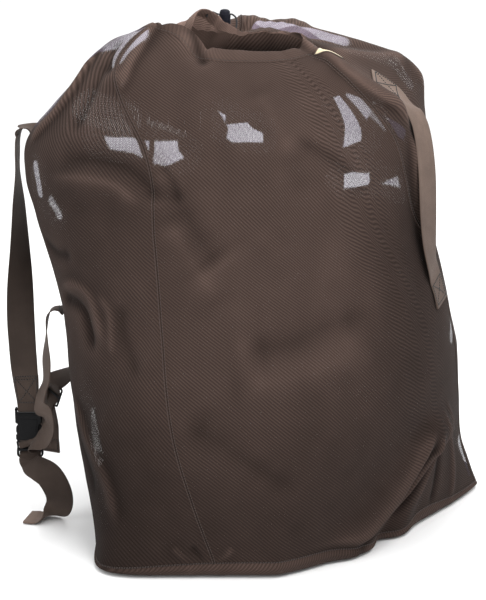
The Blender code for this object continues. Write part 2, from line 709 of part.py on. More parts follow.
def buckle_plug(material):
    """The buckle's lower half: a plate with two strap slots, and two prongs up into the socket."""
    x, y = BUCKLE_X, BUCKLE_Y
    half, foot = BUCKLE_WIDTH / 2, JOIN_Z - PLUG_HEIGHT
    low, high = (x - half, y - PLUG_DEPTH / 2, foot), (x + half, y + PLUG_DEPTH / 2, JOIN_Z)
    plug = box_mesh("buckle_plug", low, high, 2 * MM)
    slots = ((PLUG_BAR_Z + PLUG_BAR / 2, JOIN_Z - EAR), (foot + EAR, PLUG_BAR_Z - PLUG_BAR / 2))
    for bottom_z, top_z in slots:
        low, high = (x - half + EAR, y - PLUG_DEPTH, bottom_z), (x + half - EAR, y + PLUG_DEPTH, top_z)
        boolean(plug, box_mesh("plug_slot", low, high), "DIFFERENCE")
    for side in (-1, 1):
        for name, from_edge, wide, start, bevel in PRONG_PIECES:
            middle = x + side * (half - from_edge)
            low = (middle - wide / 2, y - PRONG_DEPTH / 2, JOIN_Z + start)
            high = (middle + wide / 2, y + PRONG_DEPTH / 2, JOIN_Z + PRONG_HEIGHT)
            boolean(plug, box_mesh(name, low, high, bevel), "UNION")
    finish_hard(plug, material)


def slider(material):
    """A flat slider with a centre bar, threaded on the anchor strap."""
    half, tall, thick = SLIDER_WIDTH / 2, SLIDER_HEIGHT / 2, SLIDER_THICK / 2
    side, face, up = look_axes(SLIDER_HEADING, SLIDER_TILT, SLIDER_LEAN)
    placed = Matrix.Translation(SLIDER_AT) @ Matrix((side, -face, up)).transposed().to_4x4()
    frame = box_mesh("strap_slider", (-half, -thick, -tall), (half, thick, tall), 1.2 * MM)
    frame.matrix_world = placed
    for low, high in ((SLIDER_BAR / 2, tall - SLIDER_EDGE), (SLIDER_EDGE - tall, -SLIDER_BAR / 2)):
        end = half - SLIDER_EDGE
        slot = box_mesh("slider_slot", (-end, -3 * thick, low), (end, 3 * thick, high))
        slot.matrix_world = placed
        boolean(frame, slot, "DIFFERENCE")
    finish_hard(frame, material)


def lock(material):
    """The cord lock: a domed barrel behind the mouth, bored across for the cord."""
    x, y, z = LOCK_AT
    profile = (
        (0, -LOCK_HEIGHT / 2),
        (LOCK_RADIUS * 0.86, -LOCK_HEIGHT / 2),
        (LOCK_RADIUS, -LOCK_HEIGHT / 2 + 2 * MM),
        (LOCK_RADIUS, LOCK_HEIGHT / 2 - LOCK_RADIUS * 0.8),
        (LOCK_RADIUS * 0.92, LOCK_HEIGHT / 2 - LOCK_RADIUS * 0.48),
        (LOCK_RADIUS * 0.70, LOCK_HEIGHT / 2 - LOCK_RADIUS * 0.20),
        (LOCK_RADIUS * 0.38, LOCK_HEIGHT / 2 - LOCK_RADIUS * 0.04),
        (0, LOCK_HEIGHT / 2),
    )
    sides = 16
    points = [(0, 0, profile[0][1])]
    for radius, height in profile[1:-1]:
        for k in range(sides):
            angle = 2 * math.pi * k / sides
            points.append((radius * math.cos(angle), radius * math.sin(angle), height))
    points.append((0, 0, profile[-1][1]))
    faces = []
    rings = len(profile) - 2
    for k in range(sides):
        after = (k + 1) % sides
        faces.append((0, 1 + after, 1 + k))
        for r in range(rings - 1):
            a, b = 1 + r * sides + k, 1 + r * sides + after
            faces.append((a, b, b + sides, a + sides))
        last = 1 + (rings - 1) * sides
        faces.append((last + k, last + after, len(points) - 1))
    barrel = mesh_object("cord_lock", points, faces, material)
    barrel.location = (x, y, z)
    bore = rod_mesh("lock_bore", (x, y, z + CORD_Z), CORD / 2 + 0.4 * MM, 4 * LOCK_RADIUS)
    boolean(barrel, bore, "DIFFERENCE")
    finish_hard(barrel, material)


def cord(material):
    """The draw cord's short run outside the hem, through the lock."""
    keys = np.arange(len(CORD_ROUTE))
    points = open_curve(keys, CORD_ROUTE, np.linspace(0, keys[-1], CORD_POINTS))
    curve = bpy.data.curves.new("draw_cord", "CURVE")
    curve.dimensions = "3D"
    curve.bevel_depth = CORD / 2
    curve.bevel_resolution = 2
    curve.use_fill_caps = True
    line = curve.splines.new("POLY")
    line.points.add(len(points) - 1)
    for spot, point in zip(line.points, points):
        spot.co = (*point, 1)
    curve.materials.append(material)
    obj = bpy.data.objects.new("draw_cord", curve)
    bpy.context.collection.objects.link(obj)


def material(name, colour, roughness, metallic=0.0):
    made = bpy.data.materials.new(name)
    made.use_nodes = True
    shader = made.node_tree.nodes["Principled BSDF"]
    shader.inputs["Base Color"].default_value = (*colour, 1)
    shader.inputs["Roughness"].default_value = roughness
    shader.inputs["Metallic"].default_value = metallic
    return made


def main():
    for obj in list(bpy.data.objects):
        bpy.data.objects.remove(obj, do_unlink=True)
    mesh_cloth = material("mesh_cloth", (0.075, 0.048, 0.039), 0.85)
    under = cloth_tree(walls(mesh_cloth))
    hem(mesh_cloth)
    bottom(mesh_cloth)
    strap_web = material("strap_web", (0.11, 0.075, 0.055), 0.8)
    webbing("right_strap", RIGHT_STRAP, 5, under, strap_web)
    webbing("left_strap", LEFT_STRAP, 3, under, strap_web)
    webbing("lower_strap", LOWER_STRAP, 2, under, strap_web)
    webbing("anchor_strap", ANCHOR_STRAP, 3, under, strap_web)
    label(under, material("label_cloth", (0.82, 0.68, 0.45), 0.8))
    hard = material("hard_plastic", (0.006, 0.006, 0.007), 0.45)
    buckle_socket(hard)
    buckle_plug(hard)
    slider(hard)
    lock(hard)
    cord(material("cord_black", (0.01, 0.01, 0.012), 0.7))


main()
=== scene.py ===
"""Mesh decoy bag, filled and standing: mesh cloth, webbing shoulder straps, buckle, cord lock and stage."""

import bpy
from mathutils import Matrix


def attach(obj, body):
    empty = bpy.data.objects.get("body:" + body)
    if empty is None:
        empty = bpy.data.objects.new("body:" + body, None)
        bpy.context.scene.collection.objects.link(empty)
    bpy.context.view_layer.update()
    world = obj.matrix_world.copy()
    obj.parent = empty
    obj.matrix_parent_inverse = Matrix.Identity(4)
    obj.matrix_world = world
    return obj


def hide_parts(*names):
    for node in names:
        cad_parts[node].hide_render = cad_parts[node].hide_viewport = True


bl_info = {
    "name": "Mesh Decoy Bag",
    "version": (1, 0, 0),
    "blender": (4, 5, 0),
    "location": "3D View > Sidebar > Mesh Bag",
    "description": "Builds a filled mesh bag with webbing shoulder straps",
    "category": "Add Mesh",
}

import math
from collections import namedtuple

import bmesh
import bpy
import numpy as np
from bpy.props import FloatProperty, FloatVectorProperty, PointerProperty
from bpy.types import Operator, Panel, PropertyGroup
from mathutils import Matrix, Vector
from mathutils.bvhtree import BVHTree

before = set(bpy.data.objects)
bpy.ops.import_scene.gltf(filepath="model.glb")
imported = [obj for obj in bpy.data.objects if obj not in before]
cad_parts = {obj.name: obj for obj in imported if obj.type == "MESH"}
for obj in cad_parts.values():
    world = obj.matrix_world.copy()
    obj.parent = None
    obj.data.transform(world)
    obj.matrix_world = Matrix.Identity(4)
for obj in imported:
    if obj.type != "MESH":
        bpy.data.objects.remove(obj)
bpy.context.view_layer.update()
BODY = "root"
MM = 0.001
FULL_TURN = 2 * math.pi


def table(kind, *rows):
    """Rows of one kind, each written as its plain values."""
    return tuple(kind(*row) for row in rows)


# Settings that a user would change


def colour_of(name, description, default):
    return FloatVectorProperty(
        name=name, description=description, subtype="COLOR", size=3, min=0, max=1, default=default
    )


def length_of(name, description, default, low, high):
    return FloatProperty(
        name=name, description=description, unit="LENGTH", default=default, min=low, max=high
    )


def share_of(name, description, default):
    return FloatProperty(
        name=name, description=description, subtype="FACTOR", default=default, min=0, max=1
    )


class ClothSettings(PropertyGroup):
    """The mesh cloth of the walls, the bottom and the hem."""

    colour: colour_of("Cloth colour", "Colour of the mesh cloth's yarn", (0.0680, 0.0455, 0.0378))
    pitch: length_of("Mesh pitch", "Distance from one row of holes to the next", 0.0027, 0.002, 0.02)
    hole: share_of("Hole width", "Width of a hole as a share of the pitch", 0.12)
    sheer_hole: share_of("Sheer hole width", "Width of a hole where the cloth is sheer", 0.86)
    wrinkles: length_of("Wrinkle depth", "Depth of the small uneven wrinkles", 0.0016, 0, 0.02)


class StrapSettings(PropertyGroup):
    """The webbing and its thread."""

    colour: colour_of("Webbing colour", "Colour of the webbing", (0.175, 0.124, 0.100))
    rib: length_of("Rib pitch", "Distance between the webbing's ribs", 0.0016, 0.0005, 0.01)
    thread: colour_of("Thread colour", "Colour of the stitches", (0.005, 0.0035, 0.003))
    stitch: length_of("Stitch length", "Length of one stitch", 0.0036, 0.001, 0.02)


class TrimSettings(PropertyGroup):
    """The label and the plastic and cord parts."""

    label: colour_of("Label colour", "Colour of the bare label", (0.80, 0.66, 0.43))
    plastic: colour_of("Plastic colour", "Colour of the buckle and the slider", (0.0045, 0.0045, 0.005))
    lock: colour_of("Lock colour", "Colour of the cord lock", (0.012, 0.012, 0.018))
    cord: colour_of("Cord colour", "Colour of the draw cord", (0.013, 0.012, 0.014))


class StageSettings(PropertyGroup):
    """The floor, the lights and the camera."""

    floor: colour_of("Floor colour", "Colour of the plain floor", (0.93, 0.93, 0.93))
    sky: FloatProperty(name="Room light", description="Strength of the even light", default=1.0, min=0)
    key: FloatProperty(
        name="Key light", description="Power of the large light", unit="POWER", default=60, min=0
    )
    distance: length_of("Camera distance", "Distance from the camera to its target", 2.55, 0.5, 20)
    elevation: FloatProperty(
        name="Camera elevation",
        description="Angle of the camera above the horizon",
        subtype="ANGLE",
        default=math.radians(16),
    )
    lens: FloatProperty(
        name="Lens", description="Focal length on a 36 mm sensor", subtype="DISTANCE_CAMERA", default=85
    )


SETTINGS = {
    "mesh_bag_cloth": ClothSettings,
    "mesh_bag_strap": StrapSettings,
    "mesh_bag_trim": TrimSettings,
    "mesh_bag_stage": StageSettings,
}


# The bag's form, in metres. Turn runs once round from the left side over the front, and rise from the bottom
# seam to the rim. The form, the seams and the broad folds are the frame's own.

Belly = namedtuple("Belly", "rise z x_mid y_mid left right front back sq_fl sq_fr sq_br sq_bl swing")
BELLY = table(
    Belly,
    (0.0, 0.03, 0.06, 0.03, 0.322, 0.4, 0.272, 0.165, 9.0, 1.12, 4.0, 2.6, 0.115),
    (0.13, 0.13, 0.06, 0.03, 0.348, 0.36, 0.28, 0.2, 3.6, 1.35, 2.8, 2.3, 0.07),
    (0.28, 0.27, 0.05, 0.02, 0.363, 0.348, 0.275, 0.22, 2.6, 1.7, 2.4, 2.2, 0.03),
    (0.44, 0.43, 0.03, 0.02, 0.356, 0.342, 0.262, 0.215, 2.2, 1.9, 2.3, 2.1, 0.01),
    (0.6, 0.59, 0.0, 0.02, 0.368, 0.332, 0.24, 0.195, 1.9, 2.0, 2.3, 1.9, 0.0),
)
Station = namedtuple("Station", "turn x y z")
SHOULDER = table(
    Station,
    (0.0, -0.386, 0.03, 0.712), (0.075, -0.29, -0.11, 0.725), (0.145, -0.165, -0.18, 0.735),
    (0.23, -0.03, -0.203, 0.745), (0.335, 0.13, -0.19, 0.745), (0.425, 0.268, -0.1, 0.75),
    (0.48, 0.308, -0.015, 0.74), (0.53, 0.312, 0.07, 0.765), (0.6, 0.2, 0.14, 0.78), (0.73, 0.02, 0.16, 0.78),
    (0.93, -0.25, 0.12, 0.745),
)
CROWN = table(
    Station,
    (0.0, -0.248, 0.0, 0.876), (0.075, -0.225, -0.07, 0.866), (0.145, -0.165, -0.125, 0.85),
    (0.23, -0.03, -0.142, 0.832), (0.335, 0.09, -0.137, 0.836), (0.425, 0.195, -0.122, 0.832),
    (0.48, 0.242, -0.035, 0.83), (0.535, 0.276, 0.062, 0.864), (0.6, 0.15, 0.09, 0.897),
    (0.73, 0.03, 0.08, 0.918), (0.93, -0.17, 0.055, 0.888),
)
RIM = table(
    Station,
    (0.0, -0.158, -0.045, 0.914), (0.065, -0.12, -0.066, 0.926), (0.12, -0.085, -0.076, 0.917),
    (0.17, -0.06, -0.088, 0.893), (0.23, -0.03, -0.092, 0.887), (0.335, 0.05, -0.09, 0.883),
    (0.42, 0.09, -0.074, 0.89), (0.48, 0.096, -0.045, 0.902), (0.54, 0.078, -0.022, 0.906),
    (0.7, 0.01, -0.015, 0.91), (0.82, -0.035, -0.026, 0.93), (0.89, -0.068, -0.038, 0.946),
    (0.95, -0.11, -0.046, 0.926),
)
SHOULDER_RISE = 0.76
CROWN_RISE = 0.89

SeamPoint = namedtuple("SeamPoint", "rise turn")
LEFT_SEAM = table(
    SeamPoint,
    (0.0, 0.1895), (0.13, 0.1746), (0.28, 0.1583), (0.44, 0.1544), (0.6, 0.1566), (0.76, 0.148),
    (0.89, 0.105), (1.0, 0.04),
)
RIGHT_SEAM = table(
    SeamPoint,
    (0.0, 0.5), (0.44, 0.48), (0.76, 0.408), (0.89, 0.408), (1.0, 0.415),
)
BACK_SEAM = table(
    SeamPoint,
    (0.0, 0.83), (0.44, 0.815), (0.76, 0.79), (0.89, 0.77), (1.0, 0.745),
)

# Broad folds, along the two axes of the side that they lie on. A valley's height is negative.
Fold = namedtuple("Fold", "side a0 b0 a1 b1 width height")
FOLDS = table(
    Fold,
    ("front", 0.2, 0.03, 0.35, 0.2, 0.03, 0.016), ("front", 0.29, 0.04, 0.34, 0.22, 0.022, 0.012),
    ("front", 0.25, 0.03, 0.33, 0.16, 0.016, -0.012), ("front", -0.29, 0.26, -0.17, 0.42, 0.03, -0.01),
    ("left", 0.0, 0.78, 0.0, 0.83, 0.035, -0.012), ("top", 0.14, -0.1, 0.26, -0.11, 0.018, 0.008),
    ("top", 0.11, 0.01, 0.23, 0.04, 0.03, -0.012), ("top", -0.075, 0.012, 0.0, 0.014, 0.02, -0.022),
)
SIDES = {
    "front": ((0, -1, 0), (1, 0, 0), (0, 0, 1)),
    "left": ((-1, 0, 0), (0, 1, 0), (0, 0, 1)),
    "top": ((0, 0, 1), (1, 0, 0), (0, 1, 0)),
}

# Finer creases, which only the cloth here has. Spots are (turn, rise). Left and right are how far each flank
# runs out, to the left and right of someone who follows the crease on the outside, in millimetres.
Crease = namedtuple("Crease", "left right height spots")
CREASES = table(
    Crease,
    # left shoulder: the front's edge, and the fold below it
    (5, 38, 9, ((0.043, 0.99), (0.092, 0.948), (0.117, 0.92), (0.128, 0.882), (0.122, 0.844))),
    (5, 32, 9, ((0.025, 0.905), (0.04, 0.872), (0.048, 0.842), (0.044, 0.812), (0.034, 0.786),
        (0.022, 0.755))),
    (14, 16, -7, ((0.072, 0.9), (0.08, 0.86), (0.08, 0.82), (0.075, 0.78))),
    (9, 12, -6, ((0.036, 0.93), (0.058, 0.915), (0.082, 0.89), (0.104, 0.868))),
    # hollow below the shoulder, into the left seam
    (26, 16, -7, ((0.062, 0.735), (0.096, 0.742), (0.128, 0.728), (0.152, 0.69), (0.158, 0.655))),
    (10, 22, 5, ((0.052, 0.7), (0.088, 0.706), (0.12, 0.694), (0.146, 0.65))),
    # crease between the left lobe of the mouth and its front lip
    (10, 10, -7, ((0.128, 0.998), (0.155, 0.99), (0.185, 0.97), (0.205, 0.935))),
    # right fold of the mouth, with the valley behind it
    (30, 7, 11, ((0.452, 1.0), (0.44, 0.985), (0.427, 0.96), (0.418, 0.925), (0.419, 0.89),
        (0.424, 0.855), (0.431, 0.825), (0.434, 0.79), (0.433, 0.75))),
    (12, 18, -9, ((0.476, 0.99), (0.462, 0.955), (0.45, 0.92), (0.449, 0.885), (0.453, 0.85))),
    (26, 7, 10, ((0.433, 0.77), (0.436, 0.7), (0.447, 0.62), (0.452, 0.56), (0.452, 0.5))),
    # soft fold that runs from the mouth's right end over the shoulder
    (16, 22, 6, ((0.48, 0.972), (0.5, 0.94), (0.518, 0.91), (0.522, 0.88))),
    # folds that fan out over the lower right corner
    (50, 9, 13, ((0.331, 0.0), (0.355, 0.03), (0.376, 0.075), (0.396, 0.126), (0.416, 0.185), (0.43, 0.24))),
    (8, 12, -11, ((0.35, 0.0), (0.376, 0.05), (0.398, 0.1), (0.416, 0.16), (0.43, 0.215))),
    (12, 6, 9, ((0.374, 0.03), (0.404, 0.08), (0.418, 0.128), (0.43, 0.18), (0.438, 0.225))),
    (8, 9, -8, ((0.395, 0.03), (0.418, 0.085), (0.434, 0.14), (0.441, 0.195))),
    (9, 7, 6, ((0.42, 0.03), (0.432, 0.085), (0.443, 0.14), (0.447, 0.205), (0.448, 0.26))),
    (9, 8, -5, ((0.452, 0.01), (0.456, 0.08), (0.456, 0.15), (0.452, 0.22))),
    (7, 7, 5, ((0.474, 0.002), (0.477, 0.07), (0.475, 0.14), (0.464, 0.215), (0.455, 0.27))),
    # lower left corner
    (7, 24, 8, ((0.04, 0.3), (0.06, 0.262), (0.085, 0.222), (0.101, 0.175), (0.11, 0.13), (0.117, 0.07))),
    (16, 12, -4, ((0.03, 0.25), (0.055, 0.215), (0.078, 0.17), (0.09, 0.11))),
    # dents on the left side, where the lower strap pulls
    (10, 14, -9, ((0.036, 0.455), (0.054, 0.468), (0.072, 0.46), (0.08, 0.425), (0.086, 0.385))),
    (8, 12, 5, ((0.04, 0.485), (0.066, 0.5), (0.084, 0.488), (0.092, 0.45), (0.098, 0.4))),
    (7, 10, 3, ((0.092, 0.498), (0.104, 0.47), (0.105, 0.43), (0.103, 0.385))),
    (12, 12, -5, ((0.02, 0.56), (0.045, 0.545), (0.07, 0.55))),
    # dents of the front
    (30, 40, -6, ((0.164, 0.715), (0.188, 0.645), (0.208, 0.59), (0.222, 0.555))),
    (22, 30, 4, ((0.172, 0.64), (0.19, 0.57), (0.215, 0.5))),
    (52, 36, -7, ((0.225, 0.424), (0.268, 0.432), (0.321, 0.46), (0.376, 0.48))),
    (46, 46, 5, ((0.215, 0.365), (0.262, 0.372), (0.315, 0.395), (0.365, 0.42))),
    (44, 30, -6, ((0.165, 0.3), (0.195, 0.268), (0.234, 0.216), (0.275, 0.17))),
    (16, 16, -3, ((0.118, 0.495), (0.117, 0.425), (0.132, 0.35))),
    (10, 10, -3, ((0.163, 0.74), (0.176, 0.7), (0.184, 0.655))),
    (14, 20, -4, ((0.3, 0.78), (0.345, 0.73), (0.385, 0.66))),
    (22, 22, 3, ((0.27, 0.88), (0.285, 0.81), (0.3, 0.73))),
    # puckers where the left seam meets the bottom
    (6, 6, 3, ((0.192, 0.004), (0.2, 0.02), (0.206, 0.045))),
    (5, 5, -3, ((0.18, 0.004), (0.176, 0.024), (0.17, 0.05))),
    (5, 6, 3, ((0.169, 0.002), (0.163, 0.022), (0.156, 0.046))),
    # right side and back
    (18, 12, 7, ((0.52, 0.89), (0.524, 0.8), (0.52, 0.7), (0.512, 0.6))),
    (16, 18, -7, ((0.49, 0.8), (0.486, 0.7), (0.482, 0.6), (0.48, 0.5))),
    (16, 24, 7, ((0.49, 0.42), (0.51, 0.3), (0.53, 0.18), (0.545, 0.06))),
    (20, 16, -7, ((0.52, 0.43), (0.545, 0.3), (0.56, 0.17))),
    (18, 26, 9, ((0.565, 0.9), (0.58, 0.78), (0.585, 0.64), (0.58, 0.5), (0.59, 0.36))),
    (22, 18, -8, ((0.61, 0.93), (0.62, 0.82), (0.618, 0.7), (0.625, 0.58))),
    (22, 30, 8, ((0.655, 0.95), (0.665, 0.84), (0.66, 0.7), (0.668, 0.56), (0.69, 0.42))),
    (26, 20, -8, ((0.7, 0.96), (0.71, 0.86), (0.716, 0.74), (0.706, 0.6))),
    (30, 30, 7, ((0.64, 0.3), (0.7, 0.24), (0.76, 0.15))),
    (20, 34, 9, ((0.75, 0.96), (0.765, 0.86), (0.78, 0.72), (0.77, 0.56), (0.76, 0.4))),
    (24, 20, -8, ((0.8, 0.95), (0.818, 0.84), (0.83, 0.72), (0.836, 0.6))),
    (16, 28, 8, ((0.85, 0.97), (0.868, 0.87), (0.88, 0.76), (0.88, 0.64), (0.866, 0.52))),
    (20, 18, -7, ((0.905, 0.96), (0.92, 0.87), (0.93, 0.78))),
    (16, 22, 7, ((0.95, 0.95), (0.966, 0.88), (0.978, 0.8))),
    (30, 24, -8, ((0.85, 0.48), (0.89, 0.42), (0.935, 0.4), (0.975, 0.42))),
    (26, 30, 7, ((0.86, 0.33), (0.9, 0.27), (0.945, 0.19), (0.975, 0.1))),
    (20, 16, -6, ((0.8, 0.3), (0.84, 0.2), (0.87, 0.09))),
    (18, 18, 6, ((0.57, 0.27), (0.6, 0.17), (0.615, 0.06))),
)

# Local corrections of the form. Each moves the cloth round a spot by so many millimetres along x, y and z.
Nudge = namedtuple("Nudge", "turn rise wide tall x y z")
NUDGES = table(
    Nudge,
    (0.172, 1.0, 0.012, 0.04, 0, 0, -6),
    # notch between the mouth's left lobe and its gathered end
    (0.93, 1.0, 0.021, 0.045, 0, 0, -31), (0.868, 1.0, 0.03, 0.05, 0, 12, 1),
    # back lip, and the sharp right end of the mouth
    (0.74, 1.0, 0.06, 0.03, 0, 0, -4), (0.428, 1.0, 0.02, 0.03, 2, -2, -5),
    # hollow left edge, where the strap hangs beside the bag
    (0.985, 0.715, 0.055, 0.05, 10, 0, 0),
    # the bottom seam dips to the floor at the left corner and along the right side
    (0.085, 0.0, 0.06, 0.06, 0, 0, -21), (0.39, 0.0, 0.04, 0.05, 0, 0, -14),
    (0.445, 0.0, 0.028, 0.05, 0, 0, 8), (0.5, 0.0, 0.06, 0.05, 0, 0, -14),
)

# Sheer places, where the mesh is stretched open. Reach is in millimetres.
Sheer = namedtuple("Sheer", "reach amount spots")
SHEERS = table(
    Sheer,
    # left shoulder, near side and far side
    (22, 0.9, ((0.01, 0.925), (0.04, 0.95), (0.074, 0.946), (0.096, 0.9))),
    (46, 0.95, ((0.998, 0.93), (0.972, 0.935), (0.956, 0.885), (0.944, 0.842))),
    (12, 0.75, ((0.008, 0.905), (0.024, 0.89), (0.03, 0.87))),
    (20, 0.8, ((0.003, 0.795), (-0.002, 0.83), (-0.002, 0.865))),
    (30, 0.24, ((0.074, 0.826), (0.105, 0.818), (0.132, 0.808))), (14, 0.22, ((0.16, 0.812), (0.19, 0.796))),
    (46, 0.7, ((0.948, 0.782), (0.925, 0.764), (0.898, 0.738))),
    (9, 0.85, ((0.038, 0.724), (0.041, 0.69), (0.041, 0.662))),
    (26, 0.85, ((0.985, 0.7), (0.982, 0.66), (0.984, 0.62), (0.97, 0.57))),
    (9, 0.85, ((0.054, 0.65), (0.06, 0.622))),
    # the back wall behind the front's patches
    (46, 0.95, ((0.927, 0.716), (0.908, 0.704), (0.873, 0.694), (0.836, 0.67))),
    (46, 0.95, ((0.774, 0.722), (0.756, 0.704), (0.726, 0.696))),
    (50, 0.9, ((0.609, 0.755), (0.594, 0.745), (0.59, 0.715), (0.6, 0.69))),
    (40, 0.85, ((0.613, 0.62), (0.588, 0.626), (0.56, 0.622))),
    # ridge behind the mouth, near side and far side
    (18, 0.95, ((0.69, 0.966), (0.64, 0.958), (0.6, 0.95), (0.562, 0.936))),
    (16, 0.95, ((0.727, 0.888), (0.674, 0.886), (0.619, 0.886), (0.584, 0.878))),
    # right shoulder, right edge and lower right corner
    (22, 0.3, ((0.504, 0.95), (0.508, 0.925), (0.509, 0.9))),
    (14, 0.5, ((0.509, 0.9), (0.502, 0.878), (0.5, 0.855))),
    (40, 0.7, ((0.594, 0.848), (0.573, 0.848), (0.558, 0.84), (0.544, 0.815))),
    (13, 0.8, ((0.49, 0.44), (0.484, 0.402), (0.476, 0.376))),
    (26, 0.85, ((0.496, 0.434), (0.504, 0.39), (0.514, 0.348))),
    (15, 0.8, ((0.494, 0.13), (0.497, 0.08), (0.498, 0.035))),
    (26, 0.85, ((0.53, 0.12), (0.53, 0.06), (0.525, 0.01))),
    # lower left edge
    (14, 0.42, ((0.082, 0.278), (0.091, 0.218), (0.095, 0.162), (0.104, 0.08))),
    (20, 0.2, ((0.313, 0.378), (0.332, 0.356), (0.346, 0.334))),
    (30, 0.7, ((0.975, 0.24), (0.978, 0.176), (0.979, 0.1))),
)

# Sheer patches of the front with straight edges, by their corners (turn, rise)
Patch = namedtuple("Patch", "amount corners")
PATCHES = table(
    Patch,
    (0.95, ((0.109, 0.782), (0.138, 0.78), (0.154, 0.774), (0.152, 0.738), (0.136, 0.754), (0.115, 0.76))),
    (0.95, ((0.159, 0.774), (0.182, 0.774), (0.183, 0.756), (0.189, 0.742), (0.17, 0.728), (0.156, 0.734))),
    (0.95, ((0.223, 0.832), (0.232, 0.822), (0.231, 0.802), (0.255, 0.806), (0.26, 0.794), (0.271, 0.784),
        (0.271, 0.766), (0.238, 0.766), (0.232, 0.774), (0.234, 0.794))),
    (0.95, ((0.368, 0.855), (0.378, 0.862), (0.377, 0.778), (0.374, 0.758), (0.354, 0.75), (0.362, 0.79))),
    (0.85, ((0.385, 0.862), (0.391, 0.868), (0.413, 0.838), (0.387, 0.796))),
    (0.62, ((0.397, 0.83), (0.429, 0.764), (0.421, 0.742), (0.4, 0.77), (0.392, 0.806))),
    (0.85, ((0.356, 0.704), (0.363, 0.706), (0.381, 0.7), (0.383, 0.686), (0.381, 0.68), (0.356, 0.68))),
    (0.75, ((0.394, 0.68), (0.413, 0.688), (0.419, 0.666), (0.405, 0.674))),
)

# The bottom, ring by ring from its middle to the bottom seam. Scale is measured from the section's middle,
# and height is a share of the seam's height.
Ring = namedtuple("Ring", "scale height")
BOTTOM_RINGS = table(
    Ring,
    (0.0, 0.0), (0.93, 0.0), (0.985, 0.2), (1.01, 0.6), (1.0, 1.0),
)

# The hem: its height, the row of its section with the stitches, the rim's rough length in metres and the
# length of half a pucker
HEM_HEIGHT = 27 * MM
HEM_STITCH_ROW = 4
RIM_LENGTH = 0.62
HALF_PUCKER = 6.5 * MM

# Points of the whole face, and its rough size round the bag and up it, in metres
FACE_ROWS, FACE_COLUMNS = 640, 1400
GIRTH, HEIGHT = 2.1, 1.1

# Buckle and lock, as the frame has them, and the slider, which hangs a little left of and above its place
BUCKLE_X = -0.3985
BUCKLE_Y = 0.0215
BAR_Z = 0.2130
BAR_RADIUS = 2.5 * MM
SOCKET_DEPTH = 12 * MM
JOIN_Z = 0.1520
PLUG_DEPTH = 8 * MM
PLUG_BAR_Z = 0.1330
SLIDER_AT = (-0.3560, 0.0400, 0.2400)
SLIDER_HEADING = 222
SLIDER_TILT = 15
SLIDER_LEAN = 12
LOCK_AT = (-0.0310, 0.0100, 0.9290)
LOCK_RADIUS = 10 * MM
LOCK_HEIGHT = 30 * MM
CORD = 3 * MM
CORD_Z = 6 * MM
Spot = namedtuple("Spot", "x y z")
CORD_ROUTE = table(
    Spot,
    (-0.0613, -0.014, 0.9328), (-0.0603, -0.0109, 0.9365), (-0.0565, -0.002, 0.9395), (-0.05, 0.007, 0.9385),
    (-0.044, 0.01, 0.9355), (-0.038, 0.01, 0.935), (-0.024, 0.01, 0.935), (-0.018, 0.01, 0.9345),
    (-0.012, 0.0092, 0.929), (-0.0108, 0.0068, 0.92), (-0.0119, 0.0044, 0.913), (-0.0129, 0.0025, 0.9093),
)

# Straps follow rows that lie on the bag or hang free
FULL = 50 * MM
WEBBING = 2.0 * MM
CLEAR = 1.5 * MM
SEWN_GAP = 0.4 * MM
SEWN = CLEAR + WEBBING / 2
WRAP = BAR_RADIUS + 2 * SEWN_GAP + WEBBING / 2
OnBag = namedtuple("OnBag", "turn rise lift width", defaults=(SEWN, FULL))
Free = namedtuple("Free", "x y z heading tilt width", defaults=(FULL,))
# Ways through the plug and the slider, up and out from their bars, in millimetres
Pass = namedtuple("Pass", "up out")
PLUG_PASSES = table(
    Pass,
    (12.0, 3.4), (8.5, 0.0), (5.0, -3.4), (1.5, -6.8), (-1.5, -6.8),
    (-5.0, -3.4), (-8.5, 0.0), (-12.0, 3.4), (-15.5, 7.2), (-20.0, 9.2),
)
SLIDER_PASSES = table(
    Pass,
    (21.0, 3.6), (15.5, 3.6), (8.4, 0.0), (1.3, -3.6), (-1.3, -3.6), (-8.4, 0.0), (-15.5, 3.6), (-21.0, 3.6),
)


def look_axes(heading, tilt, lean):
    """Side, face and up of a flat thing that looks this way."""
    heading, tilt, lean = (math.radians(v) for v in (heading, tilt, lean))
    side = np.array([-math.sin(heading), math.cos(heading), 0])
    level = math.cos(tilt)
    face = np.array([level * math.cos(heading), level * math.sin(heading), math.sin(tilt)])
    up = np.cross(face, side)
    return side * math.cos(lean) - up * math.sin(lean), face, up * math.cos(lean) + side * math.sin(lean)


def threaded(place, heading, tilt, lean, passes, width):
    """Strap rows that weave through a piece of hardware."""
    side, face, up = look_axes(heading, tilt, lean)
    spots = [np.array(place) + up * (step.up * MM) + face * (step.out * MM) for step in passes]
    return tuple(Free(*spot, heading, tilt, width) for spot in spots)


def round_bar(place, width):
    """Strap rows that go down in front of a bar, round under it and up behind it."""
    x, y, z = place
    rows = [Free(x, y - WRAP, z + 3 * MM, -90, 0, width)]
    for angle in (0, 45, 90, 135, 180):
        a = math.radians(angle)
        heading, tilt = (-90, -angle) if angle <= 90 else (90, angle - 180)
        rows.append(Free(x, y - WRAP * math.cos(a), z - WRAP * math.sin(a), heading, tilt, width))
    rows.append(Free(x, y + WRAP, z + 3 * MM, 90, 0, width))
    return tuple(rows)


